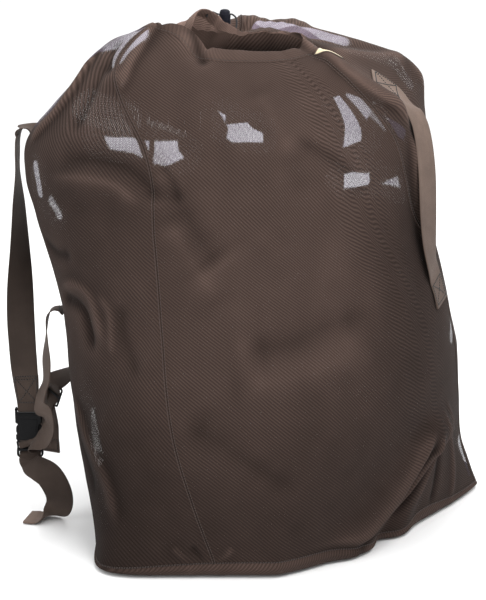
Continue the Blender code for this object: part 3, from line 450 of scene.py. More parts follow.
RIGHT_STRAP = (
    OnBag(0.463, 0.905), OnBag(0.465, 0.884), OnBag(0.467, 0.86), OnBag(0.467, 0.836),
    Free(0.288, -0.062, 0.78, -34, 34), Free(0.3, -0.068, 0.756, -38, 24),
    Free(0.308, -0.074, 0.718, -40, 12), Free(0.313, -0.082, 0.67, -41, 4),
    Free(0.316, -0.087, 0.612, -39, 2), Free(0.32, -0.087, 0.562, -33, 6),
    Free(0.326, -0.082, 0.524, -26, 10), OnBag(0.455, 0.505), OnBag(0.457, 0.48), OnBag(0.458, 0.452),
)
LEFT_STRAP = (
    OnBag(0.968, 0.69), OnBag(0.97, 0.715), OnBag(0.972, 0.738), Free(-0.39, 0.052, 0.734, 0, -90),
    Free(-0.3995, 0.05, 0.718, 0, -10), Free(-0.4015, 0.046, 0.693, 0, 0), Free(-0.402, 0.041, 0.655, 0, 0),
    Free(-0.402, 0.038, 0.6, -16, 0), Free(-0.402, 0.034, 0.555, -26, 0), Free(-0.4025, 0.03, 0.51, -38, 0),
    Free(-0.4035, 0.027, 0.47, -52, 0), Free(-0.4045, 0.024, 0.43, -66, 0),
    Free(-0.405, 0.022, 0.385, -78, 0), Free(-0.404, 0.02, 0.34, -90, 0), Free(-0.4025, 0.019, 0.3, -94, 0),
    Free(-0.4, 0.018, 0.262, -92, 0, 0.046), Free(BUCKLE_X, 0.017, 0.235, -90, 0, 0.041),
    *round_bar((BUCKLE_X, BUCKLE_Y, BAR_Z), 0.038), Free(BUCKLE_X, 0.0212, 0.235, 90, 0, 0.041),
    Free(-0.4, 0.0214, 0.262, 88, 0, 0.046), Free(-0.401, 0.0222, 0.28, 87, 0, 0.048),
)
LOWER_STRAP = (
    Free(-0.3245, 0.02, 0.403, 90, 90), Free(-0.334, 0.02, 0.408, 120, 85),
    Free(-0.346, 0.018, 0.407, 170, 60), Free(-0.355, 0.013, 0.393, 180, 12),
    Free(-0.357, 0.005, 0.354, 192, 0), Free(-0.358, -0.001, 0.316, 204, 0),
    Free(-0.359, -0.006, 0.28, 200, 0), Free(-0.365, -0.011, 0.262, 200, 0),
    Free(-0.3705, -0.015, 0.243, 206, 0), Free(-0.3665, -0.018, 0.227, 226, 0),
    Free(-0.358, -0.018, 0.21, 214, 0), Free(-0.3555, -0.015, 0.193, 205, 0),
    Free(-0.3625, -0.012, 0.176, 204, 4), Free(-0.371, -0.007, 0.167, 210, 24, 0.047),
    Free(-0.3815, 0.0, 0.1605, 228, 48, 0.042), Free(-0.3905, 0.007, 0.154, 256, 58, 0.04),
    *threaded((BUCKLE_X, BUCKLE_Y, PLUG_BAR_Z), 270, 0, 0, PLUG_PASSES, 0.04),
    Free(-0.392, 0.002, 0.1085, 270, 20, 0.043), Free(-0.378, -0.008, 0.105, 270, 25, 0.046),
    Free(-0.36, -0.016, 0.096, 272, 12), Free(-0.347, -0.02, 0.076, 274, 4),
    Free(-0.341, -0.02, 0.054, 270, -6), Free(-0.344, -0.016, 0.033, 264, -24),
    Free(-0.356, -0.008, 0.0155, 250, -58), Free(-0.38, -0.002, 0.0052, 180, -90),
    Free(-0.406, 0.004, 0.0032, 180, -90),
)
ANCHOR_STRAP = (
    OnBag(0.985, 0.335), OnBag(0.985, 0.305), Free(-0.327, 0.048, 0.274, 208, 25),
    *threaded(SLIDER_AT, SLIDER_HEADING, SLIDER_TILT, SLIDER_LEAN, SLIDER_PASSES, 0.048),
    Free(-0.364, 0.0385, 0.182, 232, 4), Free(-0.365, 0.038, 0.152, 240, 0, 0.047),
    Free(-0.365, 0.037, 0.123, 248, 0, 0.045),
)


# Curves and surfaces


def unit(vectors):
    return vectors / np.maximum(np.linalg.norm(vectors, axis=-1, keepdims=True), 1e-12)


def ramp(values, low, high):
    """A smooth step from 0 at low to 1 at high."""
    t = np.clip((values - low) / (high - low), 0, 1)
    return t * t * (3 - 2 * t)


def between(values, low, full, still, high):
    """A smooth step up from low to full, and down again from still to high."""
    return ramp(values, low, full) * ramp(values, high, still)


def spline_weights(keys, at):
    """For each place, the weights that make a smooth curve of the values at the keys."""
    keys = np.asarray(keys, float)
    at = np.clip(np.asarray(at, float), keys[0], keys[-1])
    count = len(keys)
    slopes = np.zeros((count, count))
    for k in range(count):
        before, after = max(k - 1, 0), min(k + 1, count - 1)
        slopes[k, after] += 1 / (keys[after] - keys[before])
        slopes[k, before] -= 1 / (keys[after] - keys[before])
    left = np.clip(np.searchsorted(keys, at, side="right") - 1, 0, count - 2)
    span = keys[left + 1] - keys[left]
    t = (at - keys[left]) / span
    own = np.eye(count)
    basis = (
        2 * t**3 - 3 * t**2 + 1,
        (t**3 - 2 * t**2 + t) * span,
        3 * t**2 - 2 * t**3,
        (t**3 - t**2) * span,
    )
    rows = (own[left], slopes[left], own[left + 1], slopes[left + 1])
    return sum(b[:, None] * row for b, row in zip(basis, rows))


def open_curve(keys, values, at):
    return spline_weights(keys, np.ravel(at)) @ np.asarray(values, float)


def fine_curve(values, steps):
    """A smooth curve through rows of values, with this many steps from each row to the next."""
    keys = np.arange(len(values))
    return open_curve(keys, values, np.linspace(0, keys[-1], steps * keys[-1] + 1))


def belly_points(row, turn):
    """Points of one belly section, a rounded square whose quarters each have their own squareness."""
    angle = math.pi + FULL_TURN * turn
    c, s = np.cos(angle), np.sin(angle)
    front, right = s < 0, c >= 0
    square = np.where(
        front, np.where(right, row.sq_fr, row.sq_fl), np.where(right, row.sq_br, row.sq_bl)
    )
    across = np.abs(c) / np.where(right, row.right, row.left)
    deep = np.abs(s) / np.where(front, row.front, row.back)
    reach = (across**square + deep**square) ** (-1 / square)
    x, y = row.x_mid + reach * c, row.y_mid + reach * s
    y = y + row.swing * (np.clip(x - row.x_mid, 0, None) / row.right) ** 2
    return np.stack([x, y, np.full_like(x, row.z)], axis=-1)


def loop_points(stations, turn):
    """Points of a closed smooth loop through its stations."""
    keys = np.array([s.turn for s in stations])
    values = np.array([(s.x, s.y, s.z) for s in stations])
    keys = np.concatenate([keys - 1, keys, keys + 1])
    return open_curve(keys, np.tile(values, (3, 1)), np.mod(turn, 1)).reshape(turn.shape + (3,))


def seam_turn(seam, rise):
    return open_curve([p.rise for p in seam], [p.turn for p in seam], rise)


def below_rim(turn, depth):
    """The rise that lies this far below the rim."""
    reach = np.linalg.norm(loop_points(RIM, turn) - loop_points(CROWN, turn), axis=-1)
    return 1 - (1 - CROWN_RISE) * depth / reach


def soft_noise(points, size, seed):
    """Smooth uneven values from -1 to 1 that change over this distance."""
    lattice = np.random.default_rng(seed).uniform(-1, 1, (24, 24, 24))
    spot = points / size + 1000
    cell = np.floor(spot).astype(int)
    t = spot - cell
    t = t * t * (3 - 2 * t)
    total = np.zeros(points.shape[:-1])
    for corner in np.ndindex(2, 2, 2):
        i, j, k = (np.mod(cell[..., axis] + corner[axis], 24) for axis in range(3))
        share = 1.0
        for axis in range(3):
            share = share * (t[..., axis] if corner[axis] else 1 - t[..., axis])
        total += lattice[i, j, k] * share
    return total


class Face:
    """A face of the bag on an even grid of turn and rise, which is read smoothly in between."""

    def __init__(self, points):
        self.points = points
        self.rows, self.columns = points.shape[:2]
        along = np.roll(points, -1, axis=1) - np.roll(points, 1, axis=1)
        self.normals = unit(np.cross(along, np.gradient(points, axis=0)))

    def read(self, field, turn, rise):
        u = np.mod(turn, 1) * self.columns
        v = np.clip(rise, 0, 1) * (self.rows - 1)
        c, r = np.floor(u).astype(int), np.clip(v.astype(int), 0, self.rows - 2)
        fu, fv = u - c, v - r
        if field.ndim == 3:
            fu, fv = fu[..., None], fv[..., None]
        a, b = c % self.columns, (c + 1) % self.columns
        low = field[r, a] * (1 - fu) + field[r, b] * fu
        high = field[r + 1, a] * (1 - fu) + field[r + 1, b] * fu
        return low * (1 - fv) + high * fv

    def at(self, turn, rise):
        return self.read(self.points, turn, rise)

    def normal(self, turn, rise):
        return unit(self.read(self.normals, turn, rise))


def frame_face(rows, columns):
    """The frame's own outer face."""
    turn, rise = np.arange(columns) / columns, np.linspace(0, 1, rows)
    loops = [belly_points(row, turn) for row in BELLY]
    loops += [loop_points(stations, turn) for stations in (SHOULDER, CROWN, RIM)]
    rises = [row.rise for row in BELLY] + [SHOULDER_RISE, CROWN_RISE, 1.0]
    plain = Face(np.einsum("rk,kcd->rcd", spline_weights(rises, rise), np.array(loops)))
    total = np.zeros(plain.points.shape[:-1])
    for fold in FOLDS:
        facing, first, second = (np.array(v, float) for v in SIDES[fold.side])
        flat = np.stack([plain.points @ first, plain.points @ second], axis=-1)
        start = np.array([fold.a0, fold.b0])
        run = np.array([fold.a1, fold.b1]) - start
        along = np.clip(((flat - start) @ run) / (run @ run), 0, 1)
        away = np.linalg.norm(flat - start - along[..., None] * run, axis=-1)
        seen = np.clip(2 * (plain.normals @ facing), 0, 1)
        total += fold.height * np.exp(-((away / fold.width) ** 2)) * seen
    return Face(plain.points + plain.normals * total[..., None])


def near_line(face, spots, reach):
    """The part of the grid near a line on the face: its rows and columns, how far left of the line each of
    its points lies and how far along it."""
    fine = fine_curve(spots, 6)
    line, facing = face.at(fine[:, 0], fine[:, 1]), face.normal(fine[:, 0], fine[:, 1])
    margin = np.array([2.0 if fine[:, 1].max() > 0.8 else 0.7, 1.2]) * reach
    low, high = fine.min(0) - margin, fine.max(0) + margin
    columns = np.arange(math.floor(low[0] * face.columns), math.ceil(high[0] * face.columns)) % face.columns
    first, last = max(0, low[1]), min(1, high[1])
    rows = np.arange(math.floor(first * (face.rows - 1)), math.ceil(last * (face.rows - 1)) + 1)
    points = face.points[np.ix_(rows, columns)]
    best = np.full(points.shape[:-1], np.inf)
    side, along = np.zeros_like(best), np.zeros_like(best)
    count = len(line) - 1
    for k in range(count):
        run = line[k + 1] - line[k]
        t = np.clip(((points - line[k]) @ run) / max(run @ run, 1e-12), 0, 1)
        away = points - line[k] - t[..., None] * run
        distance = np.linalg.norm(away, axis=-1)
        closer = distance < best
        best = np.where(closer, distance, best)
        left = away @ np.cross(facing[k], run)
        side = np.where(closer, np.sign(left), side)
        along = np.where(closer, (k + t) / count, along)
    return np.ix_(rows, columns), best * side, along


def crease_heights(face):
    """How far the creases push each point of the face out."""
    total = np.zeros(face.points.shape[:-1])
    for crease in CREASES:
        widest = max(crease.left, crease.right) * MM
        where, away, along = near_line(face, crease.spots, 2.2 * widest)
        width = np.where(away > 0, crease.left, crease.right) * MM
        shape = np.exp(-((np.abs(away) / width) ** 1.6))
        rises = (crease.spots[0][1], crease.spots[-1][1])
        if 0.02 < rises[0] < 0.98:
            shape = shape * ramp(along, 0, 0.22)
        if 0.02 < rises[1] < 0.98:
            shape = shape * ramp(along, 1, 0.78)
        total[where] += crease.height * MM * shape
    return total


def blurred(field, reach):
    """A field on the grid, averaged over this many of its points each way."""
    for _ in range(2):
        wide = np.concatenate([field[:, -reach:], field, field[:, :reach]], axis=1)
        total = np.cumsum(np.pad(wide, ((0, 0), (1, 0))), axis=1)
        field = (total[:, 2 * reach + 1 :] - total[:, : -2 * reach - 1]) / (2 * reach + 1)
        tall = np.pad(field, ((reach, reach), (0, 0)), mode="edge")
        total = np.cumsum(np.pad(tall, ((1, 0), (0, 0))), axis=0)
        field = (total[2 * reach + 1 :] - total[: -2 * reach - 1]) / (2 * reach + 1)
    return field


def cloth_face(wrinkles):
    """The cloth's own outer face: the frame's, with creases, gathers, small wrinkles and corrections."""
    plain = frame_face(FACE_ROWS, FACE_COLUMNS)
    turn = np.arange(plain.columns) / plain.columns
    rise = np.linspace(0, 1, plain.rows)[:, None]
    push = crease_heights(plain)
    hidden = between(turn, 0.49, 0.56, 0.94, 1.0)
    calm = 0.35 + 0.65 * hidden
    flat = np.stack(np.broadcast_arrays(turn * GIRTH, rise * HEIGHT), axis=-1)
    upright = np.concatenate([flat * (1 / 0.05, 1 / 0.19), np.zeros(push.shape + (1,))], axis=-1)
    push += wrinkles * 1.4 * soft_noise(upright, 1, 3) * calm
    push += wrinkles * soft_noise(plain.points, 0.085, 5) * calm
    push += wrinkles * 0.35 * soft_noise(plain.points, 0.030, 8)
    wander = soft_noise(upright * (1, 0.6, 1), 2.0, 11)
    gathers = np.sin(FULL_TURN * (34 * turn + 0.55 * wander)) * ramp(rise, 0.84, 0.95) * hidden
    push += 0.9 * MM * gathers * ramp(turn, 0.93, 0.84) * (1 - 0.8 * ramp(rise, 0.95, 1.0))
    push = push * (0.25 + 0.75 * ramp(rise, 0.0, 0.03))
    points = plain.points + plain.normals * push[..., None]
    for nudge in NUDGES:
        off = (np.mod(turn - nudge.turn + 0.5, 1) - 0.5) / nudge.wide
        share = np.exp(-(off**2)) * np.exp(-(((rise - nudge.rise) / nudge.tall) ** 2))
        points = points + share[..., None] * np.array(nudge[-3:]) * MM
    made = Face(points)
    # how far each point stands out from its surroundings, near and broad; the cloth's painted light on ridges
    # and painted shade in valleys are taken from it
    made.relief = (push - blurred(push, 9)) / (3 * MM) + (push - blurred(push, 24)) / (12 * MM)
    return made


def patch_share(face, corners):
    """The part of the grid round a patch, and how far inside the patch its points lie, from 0 to 1."""
    size = np.array([GIRTH, HEIGHT])
    spots = np.array(corners, float) * size
    margin = 6 * MM
    first, last = (spots.min(0) - margin) / size, (spots.max(0) + margin) / size
    columns = np.arange(int(first[0] * face.columns), int(last[0] * face.columns) + 2)
    rows = np.arange(int(first[1] * face.rows), int(last[1] * face.rows) + 2)
    x, y = columns / face.columns * size[0], rows[:, None] / (face.rows - 1) * size[1]
    away = np.full((len(rows), len(columns)), np.inf)
    inside = np.zeros(away.shape, bool)
    for a, b in zip(spots, np.roll(spots, -1, axis=0)):
        run = b - a
        t = np.clip(((x - a[0]) * run[0] + (y - a[1]) * run[1]) / (run @ run), 0, 1)
        away = np.minimum(away, np.hypot(x - a[0] - t * run[0], y - a[1] - t * run[1]))
        if run[1]:
            inside ^= ((a[1] > y) != (b[1] > y)) & (x < a[0] + (y - a[1]) * run[0] / run[1])
    return np.ix_(rows, columns), ramp(np.where(inside, away, -away), -2 * MM, 2 * MM)


def sheerness(face):
    """How far the mesh is stretched open, from 0 to 1."""
    total = np.zeros(face.points.shape[:-1])
    for sheer in SHEERS:
        reach = sheer.reach * MM
        where, away, _ = near_line(face, sheer.spots, 2.2 * reach)
        share = sheer.amount * (1 - ramp(np.abs(away), 0.80 * reach, 1.12 * reach))
        total[where] = np.maximum(total[where], share)
    for patch in PATCHES:
        where, share = patch_share(face, patch.corners)
        total[where] = np.maximum(total[where], patch.amount * share)
    return total


# Meshes


def linked(name, mesh, material):
    mesh.materials.append(material)
    obj = bpy.data.objects.new(name, mesh)
    bpy.context.scene.collection.objects.link(obj)
    return obj


def mesh_of(name, points, faces, uv=None, values=None, sharp=40):
    """A smooth mesh with, for each of its points, a place on the cloth in metres and named values."""
    mesh = bpy.data.meshes.new(name)
    faces = faces if isinstance(faces, list) else faces.tolist()
    mesh.from_pydata(np.asarray(points, float).reshape(-1, 3).tolist(), [], faces)
    mesh.shade_smooth()
    mesh.set_sharp_from_angle(angle=math.radians(sharp))
    if uv is not None:
        corners = np.empty(len(mesh.loops), int)
        mesh.loops.foreach_get("vertex_index", corners)
        places = np.asarray(uv, float).reshape(-1, 2)[corners]
        mesh.uv_layers.new(name="weave").data.foreach_set("uv", places.ravel())
    for key, value in (values or {}).items():
        mesh.attributes.new(key, "FLOAT", "POINT").data.foreach_set("value", np.ravel(value).astype(float))
    return mesh


def grid_faces(rows, columns, closed=False):
    """Quads of a grid, rows by columns. A closed one joins its last column to its first."""
    ids = np.arange(rows * columns).reshape(rows, columns)
    after = np.roll(ids, -1, axis=1)
    if not closed:
        ids, after = ids[:, :-1], after[:, :-1]
    return np.stack([ids[:-1], after[:-1], after[1:], ids[1:]], axis=-1).reshape(-1, 4)


def lengths_along(points, axis):
    """Distance travelled along one axis of a grid of points."""
    steps = np.linalg.norm(np.diff(points, axis=axis), axis=-1)
    shape = list(steps.shape)
    shape[axis] = 1
    return np.concatenate([np.zeros(shape), np.cumsum(steps, axis=axis)], axis=axis)


def cloth_places(points):
    """Place of each point of a grid on the flat cloth, in metres, from the foot of its middle column."""
    across = lengths_along(points, 1)
    across = across - across[:, across.shape[1] // 2, None]
    return np.stack([across, lengths_along(points, 0)], axis=-1)


def tree_of(objects):
    """A search tree over the faces of these objects."""
    points, faces = [], []
    for obj in objects:
        start = len(points)
        points += [tuple(v.co) for v in obj.data.vertices]
        faces += [tuple(start + v for v in face.vertices) for face in obj.data.polygons]
    return BVHTree.FromPolygons(points, faces)


def stand_off(tree, points, facing, gap):
    """How far each point moves along its facing to stand this far off the cloth."""
    reach = 40 * MM
    out = np.zeros(points.shape[:-1])
    for spot in np.ndindex(out.shape):
        start = Vector(points[spot] + facing[spot] * reach)
        distance = tree.ray_cast(start, Vector(-facing[spot]), 2 * reach)[3]
        if distance is not None:
            out[spot] = max(0, gap + reach - distance)
    return out


def edge_distance(points):
    """How far each point of a grid lies from the grid's first or last column, whichever is nearer."""
    return np.minimum(lengths_along(points, 1), lengths_along(points[:, ::-1], 1)[:, ::-1])


def smoothed(values, axis, times):
    """Values eased towards their neighbours along one axis."""
    for _ in range(times):
        size = values.shape[axis]
        before = np.take(values, np.clip(np.arange(size) - 1, 0, None), axis=axis)
        after = np.take(values, np.clip(np.arange(size) + 1, None, size - 1), axis=axis)
        values = (before + 2 * values + after) / 4
    return values


# Stitches, each a small grain of thread
GRAIN = np.array(
    [(-0.5, 0.0, 0.0)]
    + [(at, math.cos(k * math.pi / 3), math.sin(k * math.pi / 3)) for at in (-0.30, 0.30) for k in range(6)]
    + [(0.5, 0.0, 0.0)]
)
STITCH_GAP = 1.0 * MM


def grain_faces():
    """Triangles of one grain: its two ends and the six sides between them."""
    faces = []
    for k in range(6):
        n = (k + 1) % 6
        faces += [(0, 1 + n, 1 + k), (1 + k, 1 + n, 7 + n), (1 + k, 7 + n, 7 + k), (13, 7 + k, 7 + n)]
    return np.array(faces)


def read_line(values, travel, at):
    """Values of a line at these distances along it."""
    return np.stack([np.interp(at, travel, values[:, k]) for k in range(3)], axis=-1)


def stitches(name, runs, settings, material, radius=0.45 * MM):
    """Rows of stitches along lines, each line given as its points and the way that they face."""
    points, faces = [], []
    own = grain_faces()
    made = 0
    for line, facing in runs:
        line, facing = np.asarray(line), np.asarray(facing)
        travel = lengths_along(line, 0)
        count = int(travel[-1] / (settings.stitch + STITCH_GAP))
        if count < 1:
            continue
        at = (np.arange(count) + 0.5) * travel[-1] / count
        up = unit(read_line(facing, travel, at))
        run = unit(read_line(line, travel, at + MM) - read_line(line, travel, at - MM))
        side = unit(np.cross(up, run))
        grain = (
            read_line(line, travel, at)[:, None]
            + run[:, None] * GRAIN[:, 0, None] * settings.stitch
            + side[:, None] * GRAIN[:, 1, None] * radius
            + up[:, None] * GRAIN[:, 2, None] * radius
        )
        starts = len(GRAIN) * (made + np.arange(count))
        faces.append((own[None] + starts[:, None, None]).reshape(-1, 3))
        points.append(grain.reshape(-1, 3))
        made += count
    mesh = mesh_of(name, np.concatenate(points), np.concatenate(faces), sharp=80)
    return linked(name, mesh, material)


# Hard parts


def rounded(corners, steps=5):
    """A closed outline from corners (x, y, radius)."""
    spots = np.array([c[:2] for c in corners], float)
    made = []
    count = len(corners)
    for k in range(count):
        here, radius = spots[k], corners[k][2]
        back, on = unit(spots[k - 1] - here), unit(spots[(k + 1) % count] - here)
        if radius <= 0:
            made.append(here)
            continue
        half = math.acos(max(-1, min(1, float(back @ on)))) / 2
        reach = radius / math.tan(half)
        middle = here + unit(back + on) * radius / math.sin(half)
        first, last = here + back * reach - middle, here + on * reach - middle
        for step in range(steps + 1):
            t = step / steps
            made.append(middle + unit(first * (1 - t) + last * t) * radius)
    return made


def plate(outlines, depth, bevel):
    """A flat plate with rounded edges in the XY plane. The first outline is its edge, the rest are holes."""
    curve = bpy.data.curves.new("plate", "CURVE")
    curve.dimensions = "2D"
    curve.fill_mode = "BOTH"
    curve.extrude = depth / 2 - bevel
    curve.bevel_depth = bevel
    curve.bevel_resolution = 3
    curve.offset = -bevel
    for k, outline in enumerate(outlines):
        spots = np.array(outline)
        leftward = np.cross(spots, np.roll(spots, -1, axis=0)).sum() > 0
        if leftward == (k > 0):
            spots = spots[::-1]
        line = curve.splines.new("POLY")
        line.points.add(len(spots) - 1)
        line.use_cyclic_u = True
        for point, spot in zip(line.points, spots):
            point.co = (spot[0], spot[1], 0, 1)
    obj = bpy.data.objects.new("plate", curve)
    bpy.context.scene.collection.objects.link(obj)
    bpy.context.view_layer.update()
    mesh = bpy.data.meshes.new_from_object(obj.evaluated_get(bpy.context.evaluated_depsgraph_get()))
    bpy.data.objects.remove(obj)
    bpy.data.curves.remove(curve)
    return mesh


def turned(profile, sides):
    """A body turned on Z from its profile of (radius, height), its first and last radius 0."""
    angles = FULL_TURN * np.arange(sides) / sides
    ring = np.stack([np.cos(angles), np.sin(angles), np.ones(sides)], axis=-1)
    rings = [ring * (r, r, z) for r, z in profile[1:-1]]
    points = np.concatenate([*rings, [(0, 0, profile[0][1])], [(0, 0, profile[-1][1])]])
    faces = grid_faces(len(rings), sides, closed=True).tolist()
    foot, tip = len(points) - 2, len(points) - 1
    top = (len(rings) - 1) * sides
    for k in range(sides):
        n = (k + 1) % sides
        faces += [(foot, n, k), (tip, top + k, top + n)]
    mesh = bpy.data.meshes.new("turned")
    mesh.from_pydata(points.tolist(), [], faces)
    return mesh


def rod(radius, length):
    """A round bar along Z with softened ends."""
    half, soft = length / 2, min(radius, length / 2) * 0.4
    foot = ((0, -half), (radius - soft, -half), (radius, -half + soft))
    return turned((*foot, *((r, -z) for r, z in reversed(foot))), 24)


def assembled(name, parts, material):
    """One object from meshes and where each of them is."""
    build = bmesh.new()
    for mesh, where in parts:
        first = len(build.verts)
        build.from_mesh(mesh)
        build.verts.ensure_lookup_table()
        bmesh.ops.transform(build, matrix=where, verts=build.verts[first:])
        bpy.data.meshes.remove(mesh)
    bmesh.ops.recalc_face_normals(build, faces=build.faces)
    mesh = bpy.data.meshes.new(name)
    build.to_mesh(mesh)
    build.free()
    mesh.shade_smooth()
    mesh.set_sharp_from_angle(angle=math.radians(35))
    return linked(name, mesh, material)


# Plates are drawn in XY. This stands them up in XZ, with their face to the front.
UPRIGHT = Matrix(((1, 0, 0, 0), (0, 0, -1, 0), (0, 1, 0, 0), (0, 0, 0, 1)))
ALONG_X = Matrix.Rotation(math.pi / 2, 4, "Y")


# Webbing


def strap_rows(rows, face):
    """Each row's middle, the way its face looks and its width."""
    middles, faces = [], []
    for row in rows:
        if isinstance(row, OnBag):
            turn, rise = np.array([row.turn]), np.array([row.rise])
            normal = face.normal(turn, rise)
            middles.append((face.at(turn, rise) + normal * row.lift)[0])
            faces.append(normal[0])
        else:
            faces.append(look_axes(row.heading, row.tilt, 0)[1])
            middles.append((row.x, row.y, row.z))
    return np.array(middles), np.array(faces), np.array([row.width for row in rows])


class Webbing:
    """A flat woven strap swept through its rows, which follows the cloth where it is sewn on."""

    STEPS = 10
    COLUMNS = 23
    INSET = 0.86
    EDGE = 0.9 * MM
    # the shoulder of a rounded edge: how far in it lies, as a share of the edge, and how thick the strap is
    # there, as a share of its full thickness
    ROUND = 0.1625
    SLOPE = 0.72

    def __init__(self, name, rows, face, tree, folded):
        middles, faces, widths = strap_rows(rows, face)
        keys = np.arange(len(rows))
        self.at = np.linspace(0, keys[-1], self.STEPS * keys[-1] + 1)
        middle, width = open_curve(keys, middles, self.at), open_curve(keys, widths, self.at)
        ahead = unit(np.gradient(middle, axis=0))
        across = unit(np.cross(ahead, open_curve(keys, faces, self.at)))
        facing = np.cross(across, ahead)
        spread = np.linspace(-1, 1, self.COLUMNS)
        flat = middle[:, None] + across[:, None] * (spread * width[:, None] / 2)[..., None]
        sewn_rows = [k for k in keys if isinstance(rows[k], OnBag)] or [-99]
        off = np.abs(self.at[:, None] - np.array(sewn_rows)).min(axis=1)
        sewn = off < 1
        out = np.zeros(flat.shape[:-1])
        if sewn.any():
            looks = np.broadcast_to(facing[sewn][:, None], flat[sewn].shape)
            out[sewn] = stand_off(tree, flat[sewn] - looks * WEBBING / 2, looks, CLEAR)
            out = np.maximum(smoothed(smoothed(out, 0, 6), 1, 4), 0) * ramp(off, 1.0, 0.5)[:, None]
        self.name = name
        self.flat = flat + facing[:, None] * out[..., None]
        self.travel = lengths_along(middle, 0)
        self.width, self.spread = width, spread
        side = unit(np.gradient(self.flat, axis=1))
        run = unit(np.gradient(self.flat, axis=0))
        self.facing = unit(np.cross(side, run))
        self.thick = np.full(len(self.at), WEBBING)
        for first, last in folded:
            self.thick = self.thick + WEBBING * ramp(self.at, first, first + 0.08) * (self.at <= last)

    def piece(self, material, tone_with_painted_light):
        """The strap's closed mesh, with rounded selvedges. The painted light and shade at some of its rows
        comes as pairs of row and factor.
        """
        half = self.thick[:, None, None] / 2
        soft = (1 - self.EDGE / (self.width[:, None] / 2))[..., None]
        middle = self.flat[:, self.COLUMNS // 2, None]
        inset = middle + (self.flat - middle) * soft
        lift = self.facing * half

        def selvedge(k, way):
            """The rounded edge at one end of the columns, from the face to the back or the other way."""
            rim = self.flat[:, [k]]
            shoulder = rim + (inset[:, [k]] - rim) * self.ROUND
            edge = way * lift[:, [k]] * self.SLOPE
            return [shoulder + edge, rim, shoulder - edge]

        ring = np.concatenate(
            [inset + lift, *selvedge(-1, 1), (inset - lift)[:, ::-1], *selvedge(0, -1)], axis=1
        )
        rows, count = ring.shape[:2]
        places = np.concatenate([self.spread, [1, 1, 1], self.spread[::-1], [-1, -1, -1]])
        uv = np.stack(np.broadcast_arrays(places * self.width[:, None] / 2, self.travel[:, None]), axis=-1)
        faces = grid_faces(rows, count, closed=True).tolist()
        faces.append(tuple(range(count)))
        faces.append(tuple(range((rows - 1) * count, rows * count))[::-1])
        faces = [tuple(face)[::-1] for face in faces]
        # painted light and shade along the strap, row by row
        light = np.interp(self.at, *np.transpose(tone_with_painted_light))
        values = {"tone_with_painted_light": np.repeat(light, count)}
        mesh = mesh_of(self.name, ring, faces, uv, values, 50)
        return linked(self.name, mesh, material)

    def line(self, spots):
        """A line of thread over the strap's face, through spots (across from -1 to 1, row)."""
        spots = np.array(spots, float)
        keys = np.arange(len(spots))
        at = np.linspace(0, keys[-1], 24 * keys[-1] + 1)
        fine = np.stack([np.interp(at, keys, spots[:, k]) for k in (0, 1)])
        row = np.clip(fine[1] * self.STEPS, 0, len(self.at) - 1.001)
        column = (fine[0] + 1) / 2 * (self.COLUMNS - 1.001)
        r, c = row.astype(int), column.astype(int)
        fr, fc = (row - r)[:, None], (column - c)[:, None]

        def read(field):
            low = field[r, c] * (1 - fc) + field[r, c + 1] * fc
            high = field[r + 1, c] * (1 - fc) + field[r + 1, c + 1] * fc
            return low * (1 - fr) + high * fr

        looks = unit(read(self.facing))
        thick = self.thick[r][:, None]
        return read(self.flat) + looks * (thick / 2 + 0.1 * MM), looks

    def box(self, first, last, crossed=True):
        """A sewn box between two rows, with or without a cross."""
        a = self.INSET
        runs = [self.line(((-a, first), (a, first), (a, last), (-a, last), (-a, first)))]
        if crossed:
            runs += [self.line(((-a, first), (a, last))), self.line(((a, first), (-a, last)))]
        return runs


# Finishes


class Wire:
    """A shader socket that can be used in Python sums."""

    def __init__(self, finish, socket):
        self.finish, self.socket = finish, socket

    def math(self, operation, *others):
        values = dict(enumerate((self, *others)))
        node = self.finish.node("ShaderNodeMath", {"operation": operation}, values)
        return Wire(self.finish, node.outputs[0])

    def __add__(self, other):
        return self.math("ADD", other)

    def __sub__(self, other):
        return self.math("SUBTRACT", other)

    def __mul__(self, other):
        return self.math("MULTIPLY", other)

    def __truediv__(self, other):
        return self.math("DIVIDE", other)

    def __pow__(self, other):
        return self.math("POWER", other)

    def __rsub__(self, other):
        node = self.finish.node("ShaderNodeMath", {"operation": "SUBTRACT"}, {0: other, 1: self})
        return Wire(self.finish, node.outputs[0])

    def __abs__(self):
        return self.math("ABSOLUTE")

    __radd__ = __add__
    __rmul__ = __mul__

    def floor(self):
        return self.math("FLOOR")

    def fraction(self):
        return self.math("FRACT")

    def wave(self):
        """The sine of so many full turns."""
        return (self * FULL_TURN).math("SINE")

    def least(self, other):
        return self.math("MINIMUM", other)

    def most(self, other):
        return self.math("MAXIMUM", other)

    def ramp(self, low, high):
        """A smooth step from 0 at low to 1 at high."""
        node = self.finish.node(
            "ShaderNodeMapRange",
            {"interpolation_type": "SMOOTHSTEP"},
            {"Value": self, "From Min": low, "From Max": high},
        )
        return Wire(self.finish, node.outputs["Result"])


